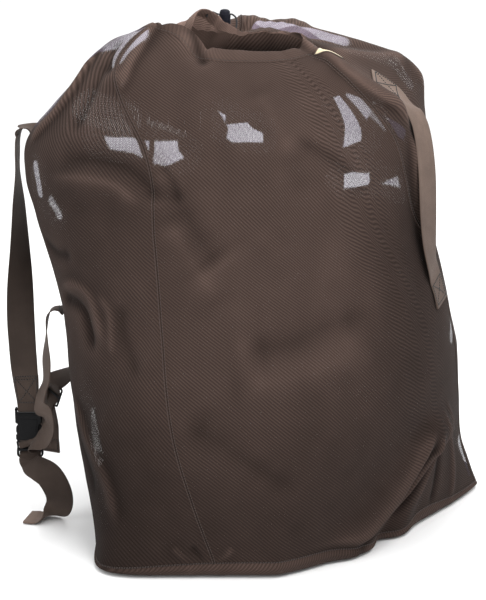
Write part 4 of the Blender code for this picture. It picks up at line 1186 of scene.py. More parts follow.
class Finish:
    """A material on its way: one shader, and the nodes that feed it."""

    def __init__(self, name, **constants):
        self.material = bpy.data.materials.new(name)
        self.material.use_nodes = True
        self.tree = self.material.node_tree
        self.shader = self.tree.nodes["Principled BSDF"]
        for socket, value in constants.items():
            self.shader.inputs[socket.replace("_", " ")].default_value = value

    def node(self, kind, settings=None, values=None):
        made = self.tree.nodes.new(kind)
        for name, value in (settings or {}).items():
            setattr(made, name, value)
        for name, value in (values or {}).items():
            if isinstance(value, Wire):
                self.tree.links.new(value.socket, made.inputs[name])
            else:
                made.inputs[name].default_value = value
        return made

    def weave_place(self):
        """Place on the flat cloth, in metres, across and along."""
        uv = self.node("ShaderNodeUVMap", {"uv_map": "weave"})
        split = self.node("ShaderNodeSeparateXYZ", None, {0: Wire(self, uv.outputs[0])})
        return Wire(self, split.outputs[0]), Wire(self, split.outputs[1])

    def place(self):
        """Place on the object, in metres."""
        return Wire(self, self.node("ShaderNodeTexCoord").outputs["Object"])

    def value(self, name):
        """A value that the mesh holds for each of its points."""
        return Wire(self, self.node("ShaderNodeAttribute", {"attribute_name": name}).outputs["Fac"])

    def noise(self, where, scale, detail, roughness=0.5):
        values = {"Vector": where, "Scale": scale, "Detail": detail, "Roughness": roughness}
        return Wire(self, self.node("ShaderNodeTexNoise", None, values).outputs["Fac"])

    def scaled(self, colour, factor):
        values = {0: colour, "Scale": factor}
        return Wire(self, self.node("ShaderNodeVectorMath", {"operation": "SCALE"}, values).outputs[0])

    def mix(self, share, first, second):
        """A colour between two colours."""
        values = {0: share}
        for socket, colour in ((6, first), (7, second)):
            values[socket] = colour if isinstance(colour, Wire) else (*colour, 1)
        made = self.node("ShaderNodeMix", {"data_type": "RGBA", "clamp_factor": True}, values)
        return Wire(self, made.outputs[2])

    def bump(self, height, distance, strength):
        values = {"Height": height, "Distance": distance, "Strength": strength}
        return Wire(self, self.node("ShaderNodeBump", None, values).outputs[0])

    def feed(self, **sockets):
        for socket, wire in sockets.items():
            self.tree.links.new(wire.socket, self.shader.inputs[socket.replace("_", " ")])
        return self.material


def shade(colour, factor):
    """The colour, made lighter or darker."""
    return tuple(c * factor for c in colour)


# The mesh cloth's weave: how far it is turned against the seams, how close its rows of holes lie as a share
# of the pitch, and the distance between the ribs that slant over it
MESH_TURN = math.radians(17)
ROW_PITCH = 0.74
TWILL_PITCH = 5.4 * MM


def mesh_finish(name, settings, cut=True):
    """Woven mesh cloth. A cut cloth has open holes. Inside the mouth it glows a little: a painted glow that
    stands in for light coming through the mesh. Its colour also carries painted shade round its holes, a
    painted pale tint of light through it where it is sheer, and painted light and shade over the whole cloth."""
    finish = Finish(
        name, Roughness=0.85, Sheen_Weight=0.02, Sheen_Roughness=0.5, Specular_IOR_Level=0.05,
        Emission_Strength=1.0,
    )
    u, v = finish.weave_place()
    where = finish.place()
    drift = finish.noise(where, 22.0, 2.0)
    c, s = math.cos(MESH_TURN), math.sin(MESH_TURN)
    u, v = u + drift * 0.0022, v + drift * 0.0016
    across, along = (u * c + v * s) / settings.pitch, (v * c - u * s) / (settings.pitch * ROW_PITCH)
    row = along.floor()
    x = (across + row * 0.5).fraction() - 0.5
    y = along.fraction() - 0.5
    away = (x * x + y * y * 0.72) ** 0.5
    twill = ((u * 0.72 + v * 0.69) / TWILL_PITCH).wave()
    opening = finish.value("opening")
    past = away - opening * 0.5
    yarn = past.ramp(-0.02, 0.22).least(away.ramp(0.06, 0.44))
    strand = (across * 2.0 + along * 3.0).wave()
    grain = finish.noise(where, 900.0, 2.0, 0.6)
    cloudy = finish.noise(where, 7.0, 3.0)
    tone_with_painted_light = finish.value("tone_with_painted_light")
    base = settings.colour
    colour = finish.mix(cloudy.ramp(0.35, 0.70), shade(base, 0.92), shade(base, 1.08))
    # painted shade in and round each hole, where the shaded inside of the bag shows through
    colour = finish.mix((1 - yarn) * 0.65, colour, shade(base, 0.40))
    colour = finish.mix(grain * 0.35, colour, shade(base, 1.50))
    depth = 0.42 if cut else 0.18
    colour = finish.mix(depth - twill * depth, colour, shade(base, 0.40))
    stretched = opening.ramp(0.40, 0.75)
    # where the mesh is stretched open, a pale tint is painted over it: painted light that shows through the
    # sheer cloth
    colour = finish.mix(stretched * 0.8, colour, (0.20, 0.165, 0.215))
    # the painted light and shade of each point, with a little random variation, scales the colour
    colour = finish.scaled(colour, tone_with_painted_light)
    height = yarn * 0.7 + strand * 0.10 + grain * 0.15 + twill * 0.15
    wires = {
        "Base_Color": colour,
        "Roughness": 0.78 + grain * 0.16,
        "Normal": finish.bump(height, 0.0007, 0.55),
        # painted glow inside the mouth
        "Emission_Color": finish.scaled(colour, finish.value("glow")),
    }
    if cut:
        blend = stretched * 0.6
        wires["Alpha"] = past.ramp(-0.05, 0.03) * (1 - blend) + blend * 0.50
    return finish.feed(**wires)


def webbing_finish(name, settings):
    """Ribbed webbing: fine ribs across, plain selvedges and a little wear, with painted light and shade along
    each strap.
    """
    base = settings.colour
    finish = Finish(name, Roughness=0.75, Sheen_Weight=0.04, Sheen_Roughness=0.5, Specular_IOR_Level=0.12)
    across, along = finish.weave_place()
    where = finish.place()
    rib = (along / settings.rib).wave()
    warp = (across / (settings.rib * 1.1) + (along / settings.rib).floor() * 0.5).wave()
    edge = abs(across).ramp(0.0210, 0.0235)
    grain = finish.noise(where, 700.0, 2.0, 0.6)
    wear = finish.noise(where, 26.0, 4.0, 0.6)
    band = abs(abs(across) - 0.0125).ramp(0.0022, 0.0008)
    weave = rib * 0.5 + warp * 0.35
    colour = finish.mix(wear.ramp(0.32, 0.72), shade(base, 0.84), shade(base, 1.14))
    colour = finish.mix((0.5 - weave * 0.5) * 0.42, colour, shade(base, 0.50))
    colour = finish.mix(edge * 0.35, colour, shade(base, 0.62))
    colour = finish.mix(band * 0.12, colour, shade(base, 0.6))
    colour = finish.mix(grain * 0.25, colour, shade(base, 1.35))
    # painted light and shade along each strap
    colour = finish.scaled(colour, finish.value("tone_with_painted_light"))
    height = weave * (1 - edge * 0.6) + grain * 0.3 + edge * 0.3
    return finish.feed(
        Base_Color=colour, Roughness=0.62 + grain * 0.2, Normal=finish.bump(height, 0.00035, 0.6)
    )


def thread_finish(name, colour):
    """Twisted sewing thread."""
    finish = Finish(name, Roughness=0.6, Sheen_Weight=0.1)
    where = finish.place()
    grain = finish.noise(where, 1500.0, 2.0)
    patchy = finish.noise(where, 90.0, 2.0)
    tint = finish.mix(grain, shade(colour, 0.7), shade(colour, 1.35))
    tint = finish.mix(patchy.ramp(0.4, 0.7) * 0.4, tint, shade(colour, 1.5))
    return finish.feed(Base_Color=tint, Roughness=0.5 + grain * 0.25, Normal=finish.bump(grain, 0.0002, 0.5))


def label_finish(name, colour):
    """Bare woven label: a fine satin, a little soiled, with a dark bound edge."""
    finish = Finish(name, Roughness=0.6, Sheen_Weight=0.15, Specular_IOR_Level=0.35)
    across, along = finish.weave_place()
    where = finish.place()
    satin = (across / 0.0007).wave() * (along / 0.0005).wave()
    soil = finish.noise(where, 60.0, 4.0, 0.6)
    edge = finish.value("edge")
    tint = finish.mix(soil.ramp(0.42, 0.78), colour, shade(colour, 0.80))
    tint = finish.mix((satin * 0.5 + 0.5) * 0.10, tint, shade(colour, 0.6))
    tint = finish.mix(edge, tint, (0.10, 0.075, 0.055))
    return finish.feed(
        Base_Color=tint, Roughness=0.5 + soil * 0.2, Normal=finish.bump(satin + edge * 0.5, 0.0002, 0.4)
    )


def plastic_finish(name, colour, rough=0.40):
    """Moulded plastic: fine texture, with dull scuffs."""
    finish = Finish(name, Specular_IOR_Level=0.09, Coat_Roughness=0.3)
    where = finish.place()
    fine = finish.noise(where, 1400.0, 3.0, 0.6)
    scuff = finish.noise(where, 55.0, 5.0, 0.65)
    worn = scuff.ramp(0.56, 0.72)
    tint = finish.mix(fine * 0.4, colour, shade(colour, 1.7))
    tint = finish.mix(worn * 0.4, tint, shade(colour, 2.4))
    return finish.feed(
        Base_Color=tint,
        Roughness=rough + fine * 0.12 + worn * 0.18,
        Coat_Weight=0.02 - worn * 0.02,
        Normal=finish.bump(fine + scuff * 0.5, 0.00018, 0.45),
    )


def cord_finish(name, colour):
    """Braided cord: two sets of slanting strands."""
    finish = Finish(name, Roughness=0.6, Sheen_Weight=0.12)
    uv = finish.node("ShaderNodeTexCoord").outputs["UV"]
    split = finish.node("ShaderNodeSeparateXYZ", None, {0: Wire(finish, uv)})
    along, round_it = Wire(finish, split.outputs[0]) * 60.0, Wire(finish, split.outputs[1]) * 6.0
    first = (along + round_it).wave()
    second = (along - round_it).wave()
    braid = first.most(second)
    grain = finish.noise(finish.place(), 1300.0, 2.0)
    tint = finish.mix(braid * 0.5 + 0.5, shade(colour, 0.5), shade(colour, 1.6))
    tint = finish.mix(grain * 0.3, tint, shade(colour, 2.4))
    return finish.feed(Base_Color=tint, Roughness=0.5 + grain * 0.25, Normal=finish.bump(braid, 0.0004, 0.6))


def floor_finish(name, colour):
    finish = Finish(name, Roughness=0.85, Specular_IOR_Level=0.1)
    soft = finish.noise(finish.place(), 3.0, 2.0)
    return finish.feed(Base_Color=finish.mix(soft, shade(colour, 0.995), colour))


# The bag's shared face and cloth, kept between the steps that build it


class Kept:
    """What one step makes and a later one needs."""

    face = None
    sheer = None
    tree = None
    finishes = {}


def finish_of(key, context):
    """Each finish is made once and shared by its pieces."""
    if key not in Kept.finishes:
        scene = context.scene
        cloth, strap, trim = scene.mesh_bag_cloth, scene.mesh_bag_strap, scene.mesh_bag_trim
        makers = {
            "mesh": lambda: mesh_finish("mesh_cloth_open", cloth),
            "hem": lambda: mesh_finish("mesh_cloth_doubled", cloth, cut=False),
            "web": lambda: webbing_finish("ribbed_webbing", strap),
            "thread": lambda: thread_finish("sewing_thread", strap.thread),
            "seam_thread": lambda: thread_finish("seam_thread", shade(cloth.colour, 0.55)),
            "label": lambda: label_finish("bare_label", trim.label),
            "plastic": lambda: plastic_finish("moulded_plastic", trim.plastic),
            "lock": lambda: plastic_finish("moulded_lock", trim.lock, 0.45),
            "cord": lambda: cord_finish("braided_cord", trim.cord),
        }
        Kept.finishes[key] = makers[key]()
    return Kept.finishes[key]


def placed(obj, slot, *nodes):
    """The piece rides on the bag and stands for these nodes. The slot is not used."""
    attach(obj, BODY)
    if nodes:
        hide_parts(*nodes)
    return obj


# Cloth pieces

# The walls, each between two seams. More is added to the last seam's turn where the wall runs on past the
# place where turn starts again at 0.
Wall = namedtuple("Wall", "name node first last more width height")
WALLS = table(
    Wall,
    ("front_cloth", "front_panel", LEFT_SEAM, RIGHT_SEAM, 0, 0.84, 1.12),
    ("back_cloth", "back_panel", RIGHT_SEAM, BACK_SEAM, 0, 0.84, 1.12),
    ("left_cloth", "left_panel", BACK_SEAM, LEFT_SEAM, 1, 0.84, 1.12),
)
WALL_COLUMNS = 216
WALL_ROWS = 300
# strength of the painted glow inside the mouth, which stands in for light that comes through the mesh
GLOW = 0.8


def wall_grid(wall):
    """Turn and rise of a wall's grid, from the bottom seam into the hem and from seam to seam."""
    across = np.linspace(0, 1, WALL_COLUMNS)
    rows = np.linspace(0, 1, WALL_ROWS)
    left, right = seam_turn(wall.first, 1), seam_turn(wall.last, 1) + wall.more
    rise = rows[:, None] * below_rim(left + (right - left) * across, HEM_HEIGHT - 5 * MM)
    left, right = seam_turn(wall.first, rise[:, 0]), seam_turn(wall.last, rise[:, -1]) + wall.more
    return left[:, None] + (right - left)[:, None] * across, rise


def openings(turn, rise, points, settings):
    """Width of the holes as a share of the pitch: wide where the cloth is sheer, closed along its seams and
    round the mouth."""
    sheer = Kept.face.read(Kept.sheer, turn, rise)
    uneven = 0.85 + 0.25 * soft_noise(points, 0.045, 21)
    share = np.clip(sheer * uneven, 0, 1)
    mouth = ramp(rise, 0.80, 0.86) * np.maximum(ramp(turn, 0.56, 0.60), ramp(rise, 0.84, 0.90))
    plain = settings.hole * (1 - mouth)
    opening = plain + (settings.sheer_hole - plain) * share
    return opening * ramp(edge_distance(points), 3 * MM, 9 * MM)


def tones_with_painted_light(turn, rise, points):
    """Painted light and shade of the cloth in steps of twice as light, over a little random variation:
    painted light on top, on its ridges, at the mouth's gathered end and on the wall behind the mouth, painted
    shade in its valleys, low down, most of all at the lower left, and round its sides."""
    x, height = points[..., 0], points[..., 2]
    cloud = 0.14 * soft_noise(points, 0.16, 31) + 0.08 * soft_noise(points, 0.05, 32)
    top, low = ramp(height, 0.55, 0.90), ramp(-height, -0.42, -0.10)
    sides = 0.70 * ramp(-x, 0.08, 0.32) + 0.90 * ramp(x, 0.14, 0.32) * (1 - 0.8 * low)
    gathered_end = 1.2 * between(turn, 0.79, 0.83, 0.91, 0.94) * ramp(rise, 0.90, 0.94)
    back_wall = 0.6 * between(turn, 0.60, 0.66, 0.80, 0.86) * between(rise, 0.80, 0.84, 0.88, 0.92)
    ridges = 0.75 * np.clip(Kept.face.read(Kept.face.relief, turn, rise), -1.3, 1)
    paler = cloud + gathered_end + back_wall + 0.12 * top + ridges
    return paler - 0.75 * low - 0.35 * low * ramp(-x, 0.02, 0.30) - sides * (1 - top)


def flat_area(points):
    """Area of a grid's cloth."""
    across, up = points[:-1, 1:] - points[:-1, :-1], points[1:, :-1] - points[:-1, :-1]
    return float(np.linalg.norm(np.cross(across, up), axis=-1).sum())


def build_walls(context):
    """The three walls, and the face that all the cloth follows."""
    settings = context.scene.mesh_bag_cloth
    Kept.face = cloth_face(settings.wrinkles)
    Kept.sheer = sheerness(Kept.face)
    made = []
    for wall in WALLS:
        turn, rise = wall_grid(wall)
        points = Kept.face.at(turn, rise)
        values = {
            "opening": openings(turn, rise, points, settings),
            # painted light and shade over the cloth, and a painted glow on the wall behind the mouth
            "tone_with_painted_light": 2 ** tones_with_painted_light(turn, rise, points),
            "glow": GLOW * between(turn, 0.52, 0.60, 0.91, 0.94) * ramp(rise, 0.82, 0.87),
        }
        mesh = mesh_of(wall.name, points, grid_faces(*turn.shape), cloth_places(points), values, 70)
        obj = placed(linked(wall.name, mesh, finish_of("mesh", context)), "mesh_cloth", wall.node)
        round(flat_area(points), 3)
        made.append(obj)
    Kept.tree = tree_of(made)


def build_bottom(context):
    """The bottom: flat where it stands, turned up to the walls."""
    settings = context.scene.mesh_bag_cloth
    columns = 480
    turn = np.arange(columns) / columns
    edge = Kept.face.at(turn, np.zeros(columns))
    middle = np.array([BELLY[0].x_mid, BELLY[0].y_mid, 0])
    bend = fine_curve(BOTTOM_RINGS[1:], 5)
    inner = np.linspace(0.02, BOTTOM_RINGS[1].scale, 60)[:-1]
    scale = np.concatenate([inner, bend[:, 0]])
    height = np.concatenate([np.zeros(len(inner)), np.clip(bend[:, 1], 0, 1)])
    points = middle + (edge[None] - middle) * scale[:, None, None]
    points[..., 2] = edge[:, 2] * height[:, None] + 0.2 * MM
    ripple = soft_noise(points, 0.035, 41) * 0.6 * MM * ramp(height, 0.05, 0.5)[:, None]
    points[..., 2] += ripple * ramp(-height, -1.0, -0.85)[:, None]
    opening = np.full(points.shape[:-1], settings.hole) * (1 - ramp(height, 0.7, 0.95))[:, None]
    flat = points[..., :2] + (points[..., 2:] * unit(points[..., :2] - middle[:2]))
    around = np.broadcast_to(turn, points.shape[:-1])
    # painted light on the edge of the bottom where it turns up to the walls
    tone_with_painted_light = tones_with_painted_light(around, np.zeros_like(around), points) + 0.8 * ramp(height, 0.02, 0.2)[:, None]
    faces = grid_faces(*points.shape[:2], closed=True).tolist() + [tuple(range(columns))[::-1]]
    mesh = mesh_of("bottom_cloth", points, faces, flat, {"opening": opening, "tone_with_painted_light": 2**tone_with_painted_light}, 70)
    obj = placed(linked("bottom_cloth", mesh, finish_of("mesh", context)), "mesh_cloth", "bottom_panel")


def build_hem(context):
    """The hem: a doubled, puckered band round the mouth, with a rounded top and a row of stitches."""
    settings = context.scene.mesh_bag_cloth
    columns = 900
    turn = np.arange(columns + 1) / columns
    foot = below_rim(turn, HEM_HEIGHT)
    # height as a share of the hem, and how far out in millimetres, over the band and down its inside
    section = (
        (0.0, 0.9), (0.03, 1.6), (0.12, 1.3), (0.22, 2.0), (0.4, 2.9), (0.6, 3.1), (0.8, 2.5), (0.93, 1.5),
        (1.0, 0.0), (0.97, -1.6), (0.88, -2.7), (0.65, -3.4), (0.4, -3.0), (0.2, -2.2), (0.1, -1.4),
        (0.02, -1.6), (0.0, -0.8),
    )
    fine = fine_curve(section, 2)
    share, out = np.clip(fine[:, 0], 0, 1)[:, None], fine[:, 1][:, None] * MM
    rise = foot + (1 - foot) * share
    turns = np.broadcast_to(turn, rise.shape)
    base, normal = Kept.face.at(turns, rise), Kept.face.normal(turns, rise)
    travel = turn * RIM_LENGTH / HALF_PUCKER
    uneven = np.random.default_rng(7).uniform(-0.6, 0.6, 62)
    wander = np.interp(np.mod(turn * 61, 61), np.arange(62), uneven)
    pucker = np.sin(FULL_TURN * (travel / 2 + wander)) * ramp(share, 0.05, 0.3)
    slack = 0.12 + 0.20 * between(turn, 0.50, 0.58, 0.78, 0.84)
    swell = (0.45 + 0.55 * slack) * (1 + 0.22 * pucker * slack)
    points = base + normal * (out * swell)[..., None]
    points = points + normal * (0.5 * MM * pucker * slack)[..., None]
    places = np.stack(np.broadcast_arrays(lengths_along(base[:1], 1), lengths_along(points, 0)), axis=-1)
    line = np.exp(-(((share - 0.12) / 0.05) ** 2)) * (out > 0)
    inner = between(turn, 0.50, 0.58, 0.91, 0.93) * (out < 0)
    # a touch lighter over all, a little darker along the row of stitches, and painted light on the inside of
    # the hem behind the mouth
    tone_with_painted_light = tones_with_painted_light(turns, rise, points) + 0.05 - 0.25 * line + (1.3 - 0.7 * ramp(turn, 0.78, 0.84)) * inner
    values = {
        "opening": np.full(rise.shape, settings.hole * 0.55),
        "tone_with_painted_light": 2**tone_with_painted_light,
        # painted glow on the inside of the hem behind the mouth
        "glow": GLOW * inner * ramp(turn, 0.84, 0.78),
    }
    faces = grid_faces(len(share), columns + 1)
    mesh = mesh_of("hem_band", points, faces, places, values, 60)
    obj = placed(linked("hem_band", mesh, finish_of("hem", context)), "mesh_cloth", "mouth_hem")
    looks = normal[HEM_STITCH_ROW]
    runs = [(points[HEM_STITCH_ROW] + looks * 0.15 * MM, looks)]
    thread = finish_of("seam_thread", context)
    placed(stitches("hem_stitches", runs, context.scene.mesh_bag_strap, thread), "mesh_cloth")


# The felled seam's section, across and out, in millimetres
SEAM_SECTION = (
    (-4.6, -0.4), (-4.2, 0.6), (-2.6, 1.5), (-0.9, 1.9), (0.3, 0.9), (2.4, 1.1), (4.2, 0.5), (4.6, -0.4),
)


def seam_band(name, turn, rise, context, size, light=0.3):
    """A felled seam that follows a line on the bag, with a row of stitches on each side. Light is the painted
    highlight on its ridge, painted shade where it is below 0.
    """
    line, facing = Kept.face.at(turn, rise), Kept.face.normal(turn, rise)
    run = unit(np.gradient(line, axis=0))
    side = unit(np.cross(run, facing))
    fine = fine_curve(SEAM_SECTION, 2) * MM * size
    travel = lengths_along(line, 0)
    pucker = 1 + 0.16 * np.sin(FULL_TURN * travel / (11 * MM) + 3 * soft_noise(line, 0.05, 51))
    raised = (fine[:, 1] * pucker[:, None])[..., None]
    points = line[:, None] + side[:, None] * fine[:, 0, None] + facing[:, None] * raised
    places = np.stack(np.broadcast_arrays(fine[:, 0], travel[:, None]), axis=-1)
    # the ridge gets painted light, turned to painted shade where light is below 0, and the groove gets
    # painted shade
    ridge = np.exp(-(((fine[:, 0] + 2.2 * MM) / (1.5 * MM)) ** 2))
    groove = np.exp(-(((fine[:, 0] - 0.4 * MM) / (0.9 * MM)) ** 2))
    tone_with_painted_light = tones_with_painted_light(turn, rise, line)[:, None] + light * ridge - 1.3 * groove
    values = {"opening": np.zeros(points.shape[:-1]), "tone_with_painted_light": 2**tone_with_painted_light}
    mesh = mesh_of(name, points, grid_faces(*points.shape[:2]), places, values, 60)
    placed(linked(name, mesh, finish_of("hem", context)), "mesh_cloth")
    # the rows of stitches, each as far across and as far out as this, in millimetres
    rows = ((-2.3, 1.8), (2.6, 1.3))
    return [(line + (side * across + facing * lift) * MM * size, facing) for across, lift in rows]


def build_seams(context):
    """The three upright seams, the bottom seam and their stitches."""
    runs = []
    rise = np.linspace(0.004, 0.985, 420)
    for name, seam in (("left_seam", LEFT_SEAM), ("right_seam", RIGHT_SEAM), ("back_seam", BACK_SEAM)):
        turn = seam_turn(seam, rise)
        top = below_rim(turn[-1:], HEM_HEIGHT - 3 * MM)[0]
        use = rise < top
        runs += seam_band(name, turn[use], rise[use], context, 0.75)
    turn = np.linspace(0, 1, 901)
    # the bottom seam's ridge gets painted shade
    runs += seam_band("bottom_seam", turn, np.full_like(turn, 0.002), context, 0.3, -0.8)
    thread = finish_of("seam_thread", context)
    placed(stitches("seam_stitches", runs, context.scene.mesh_bag_strap, thread), "mesh_cloth")


def build_label(context):
    """The bare label behind the right fold of the mouth, with a dark border round its edge."""
    rows, columns = 34, 60
    across, up = np.meshgrid(np.linspace(0, 1, columns), np.linspace(0, 1, rows))
    # turn and rise at its lower left corner, and how they change across it and up it
    turn = 0.430 + 0.032 * across - 0.010 * up
    rise = 0.938 + 0.004 * across + 0.034 * up
    base, normal = Kept.face.at(turn, rise), Kept.face.normal(turn, rise)
    out = stand_off(Kept.tree, base, normal, 1.2 * MM)
    out = np.maximum(smoothed(smoothed(out, 0, 3), 1, 3), 0)
    middle = base + normal * out[..., None]
    edge = np.minimum(edge_distance(middle), edge_distance(middle.swapaxes(0, 1)).T)
    half = 0.4 * MM * (0.35 + 0.65 * ramp(edge, 0, 0.8 * MM))[..., None]
    count = rows * columns
    points = np.concatenate([middle + normal * half, middle - normal * half])
    ids = np.arange(count).reshape(rows, columns)
    around = np.concatenate([ids[0], ids[1:, -1], ids[-1, -2::-1], ids[-2:0:-1, 0]])
    on = np.roll(around, -1)
    border_faces = np.stack([around, around + count, on + count, on], axis=-1)
    faces = grid_faces(rows, columns)
    faces = np.concatenate([faces, faces[:, ::-1] + count, border_faces])
    places = np.tile(cloth_places(middle), (2, 1, 1))
    border = np.tile(1 - ramp(edge, 1.2 * MM, 2.2 * MM), (2, 1))
    mesh = mesh_of("bare_label", points, faces, places, {"edge": border}, 60)
    obj = placed(linked("bare_label", mesh, finish_of("label", context)), "label_cloth", "side_label")


def build_straps(context):
    """The four webbing straps, with their sewn boxes."""
    settings = context.scene.mesh_bag_strap
    last, end = len(LOWER_STRAP) - 1, len(ANCHOR_STRAP) - 1
    # each strap's rows, where it is folded double, and its painted light and shade at some of its rows
    plans = {
        "right_strap": (RIGHT_STRAP, [(12.6, 13)], ((0, 1.0), (4, 0.95), (8, 0.62), (13, 0.55))),
        "left_strap": (
            LEFT_STRAP, [], ((0, 0.5), (5, 0.42), (9, 0.20), (14, 0.22), (15, 0.30), (18, 0.26)),
        ),
        "lower_strap": (
            LOWER_STRAP, [(last - 0.7, last)],
            ((0, 0.5), (9, 0.42), (16, 0.30), (28, 0.24), (last - 4, 0.22), (last - 2, 0.40), (last, 0.95)),
        ),
        "anchor_strap": (
            ANCHOR_STRAP, [(end - 0.8, end)], ((0, 0.24), (4, 0.34), (end - 2, 0.32), (end, 0.62)),
        ),
    }
    made = []
    for node, (rows, folded, painted_light_levels) in plans.items():
        made.append(Webbing(node + "_web", rows, Kept.face, Kept.tree, folded))
        placed(made[-1].piece(finish_of("web", context), painted_light_levels), "strap_web", node)
    right, left, lower, anchor = made
    runs = right.box(0.25, 2.1) + right.box(11.4, 12.8)
    runs += left.box(0.2, 1.8) + left.box(14.55, 16.3) + [left.line(((-0.86, 14.7), (0.86, 14.7)))]
    runs += lower.box(0.15, 1.0, crossed=False) + lower.box(last - 0.75, last - 0.1, crossed=False)
    runs += anchor.box(0.15, 0.9) + anchor.box(end - 0.9, end - 0.15, crossed=False)
    placed(stitches("strap_stitches", runs, settings, finish_of("thread", context), 1.05 * MM), "strap_web")


# Hard pieces


def mm(*corners):
    """Corners (x, y, radius) given in millimetres."""
    return [tuple(v * MM for v in corner) for corner in corners]


def mirrored(*corners):
    """A whole rounded outline from the corners of its right half, in millimetres, from the foot up."""
    right_half = mm(*corners)
    return rounded(right_half + [(-c[0], *c[1:]) for c in reversed(right_half)])


def in_buckle(y=BUCKLE_Y):
    """Stands a plate up in the buckle, at the height where its halves meet."""
    return Matrix.Translation((BUCKLE_X, y, JOIN_Z)) @ UPRIGHT


def lying_at(x, y, z):
    """Lays a rod along X."""
    return Matrix.Translation((x, y, z)) @ ALONG_X


def build_socket(context):
    """The buckle's upper half: a waisted body open at its sides, with a raised panel and a strap bar."""
    body = mirrored(
        (22.5, 0.4, 2.5), (24.8, 4.0, 2.0), (24.8, 11.0, 2.0), (19.6, 14.5, 4.0), (18.2, 23.0, 12.0),
        (19.6, 32.0, 4.0), (24.8, 36.0, 2.0), (24.8, 64.0, 2.2), (21.0, 64.6, 1.2), (21.0, 54.4, 0.8),
    )
    panel = mirrored(
        (15.0, 4.0, 3.0), (16.8, 9.0, 3.0), (13.4, 23.0, 14.0), (16.8, 37.0, 3.0), (15.5, 43.5, 2.5)
    )
    lip = mirrored((19.0, 48.0, 0.8), (19.0, 51.2, 0.8))
    parts = [(plate([body], SOCKET_DEPTH, 2.0 * MM), in_buckle())]
    for side in (-1, 1):
        stand = in_buckle(BUCKLE_Y + side * SOCKET_DEPTH / 2)
        parts.append((plate([panel], 1.6 * MM, 0.6 * MM), stand))
        parts.append((plate([lip], 1.4 * MM, 0.5 * MM), stand))
    parts.append((rod(BAR_RADIUS, 46 * MM), lying_at(BUCKLE_X, BUCKLE_Y, BAR_Z)))
    obj = assembled("buckle_socket_body", parts, finish_of("plastic", context))
    placed(obj, "hard_plastic", "buckle_socket")


def build_plug(context):
    """The buckle's lower half: a framed plate with two strap slots, and two sprung arms."""
    edge = mirrored(
        (13.0, -37.8, 9.0), (24.8, -31.0, 7.0), (24.8, -20.0, 3.0), (23.6, -12.0, 3.0), (24.8, -4.0, 2.0),
        (23.5, -0.3, 1.5),
    )
    upper = mirrored((21.0, -16.8, 1.5), (21.0, -4.2, 1.5))
    lower = mirrored((14.5, -33.8, 5.0), (20.8, -29.5, 3.0), (20.8, -21.2, 1.5))
    parts = [(plate([edge, upper, lower], PLUG_DEPTH, 1.8 * MM), in_buckle())]
    arm = mm(
        (13.0, -1.0, 0.5), (18.5, -1.0, 0.5), (18.8, 10.0, 6.0), (22.8, 13.5, 2.5), (24.6, 18.0, 3.0),
        (24.0, 27.0, 5.0), (19.5, 32.6, 1.5), (17.6, 32.6, 1.0), (18.6, 24.0, 6.0), (16.6, 13.0, 6.0),
    )
    for side in (-1, 1):
        outline = rounded([(side * c[0], *c[1:]) for c in arm])
        parts.append((plate([outline], 6 * MM, 1.2 * MM), in_buckle()))
    parts.append((rod(2.0 * MM, 45 * MM), lying_at(BUCKLE_X, BUCKLE_Y, PLUG_BAR_Z)))
    placed(assembled("buckle_plug_body", parts, finish_of("plastic", context)), "hard_plastic", "buckle_plug")


def build_slider(context):
    """A flat slider with a ribbed centre bar."""
    side, face, up = look_axes(SLIDER_HEADING, SLIDER_TILT, SLIDER_LEAN)
    stand = Matrix.Translation(SLIDER_AT) @ Matrix((side, -face, up)).transposed().to_4x4() @ UPRIGHT
    edge = mirrored((28.5, -18.6, 5.0), (28.5, 18.6, 5.0))
    low = mirrored((25.0, -15.0, 2.0), (25.0, -1.75, 1.0))
    high = mirrored((25.0, 1.75, 1.0), (25.0, 15.0, 2.0))
    parts = [(plate([edge, low, high], 3 * MM, 1.2 * MM), stand)]
    tooth = mm((-0.6, -1.5, 0.2), (0.6, -1.5, 0.2), (0.6, 1.5, 0.2), (-0.6, 1.5, 0.2))
    for k in range(9):
        shift = Matrix.Translation(((k - 4) * 5.2 * MM, 0, 0.9 * MM))
        parts.append((plate([rounded(tooth, 2)], 1.4 * MM, 0.25 * MM), stand @ shift))
    placed(assembled("slider_frame", parts, finish_of("plastic", context)), "hard_plastic", "strap_slider")


def build_lock(context):
    """The cord lock: a ribbed barrel with a domed button, bored across for the cord."""
    r, h = LOCK_RADIUS, LOCK_HEIGHT / 2
    profile = [(0, -h), (r * 0.80, -h), (r * 0.92, -h + 0.6 * MM)]
    for k in range(6):
        z = -h + (2.0 + 2.0 * k) * MM
        profile += [(r, z), (r, z + 1.1 * MM), (r * 0.94, z + 1.5 * MM)]
    dome = (
        (1.0, 1.20), (1.0, 0.82), (0.90, 0.76), (0.90, 0.66),
        (0.88, 0.42), (0.70, 0.17), (0.38, 0.03), (0, 0),
    )
    profile += [(r * wide, h - r * down) for wide, down in dome]
    finish = finish_of("lock", context)
    lock = assembled("lock_barrel", [(turned(profile, 40), Matrix.Translation(LOCK_AT))], finish)
    bore_at = lying_at(LOCK_AT[0], LOCK_AT[1], LOCK_AT[2] + CORD_Z)
    bore = assembled("lock_bore", [(rod(CORD / 2 + 0.3 * MM, 4 * LOCK_RADIUS), bore_at)], finish)
    cut = lock.modifiers.new("bore", "BOOLEAN")
    cut.operation = "DIFFERENCE"
    cut.object = bore
    cut.solver = "EXACT"
    bpy.context.view_layer.update()
    mesh = bpy.data.meshes.new_from_object(lock.evaluated_get(context.evaluated_depsgraph_get()))
    lock.modifiers.clear()
    lock.data = mesh
    bpy.data.objects.remove(bore)
    placed(lock, "hard_plastic", "cord_lock")


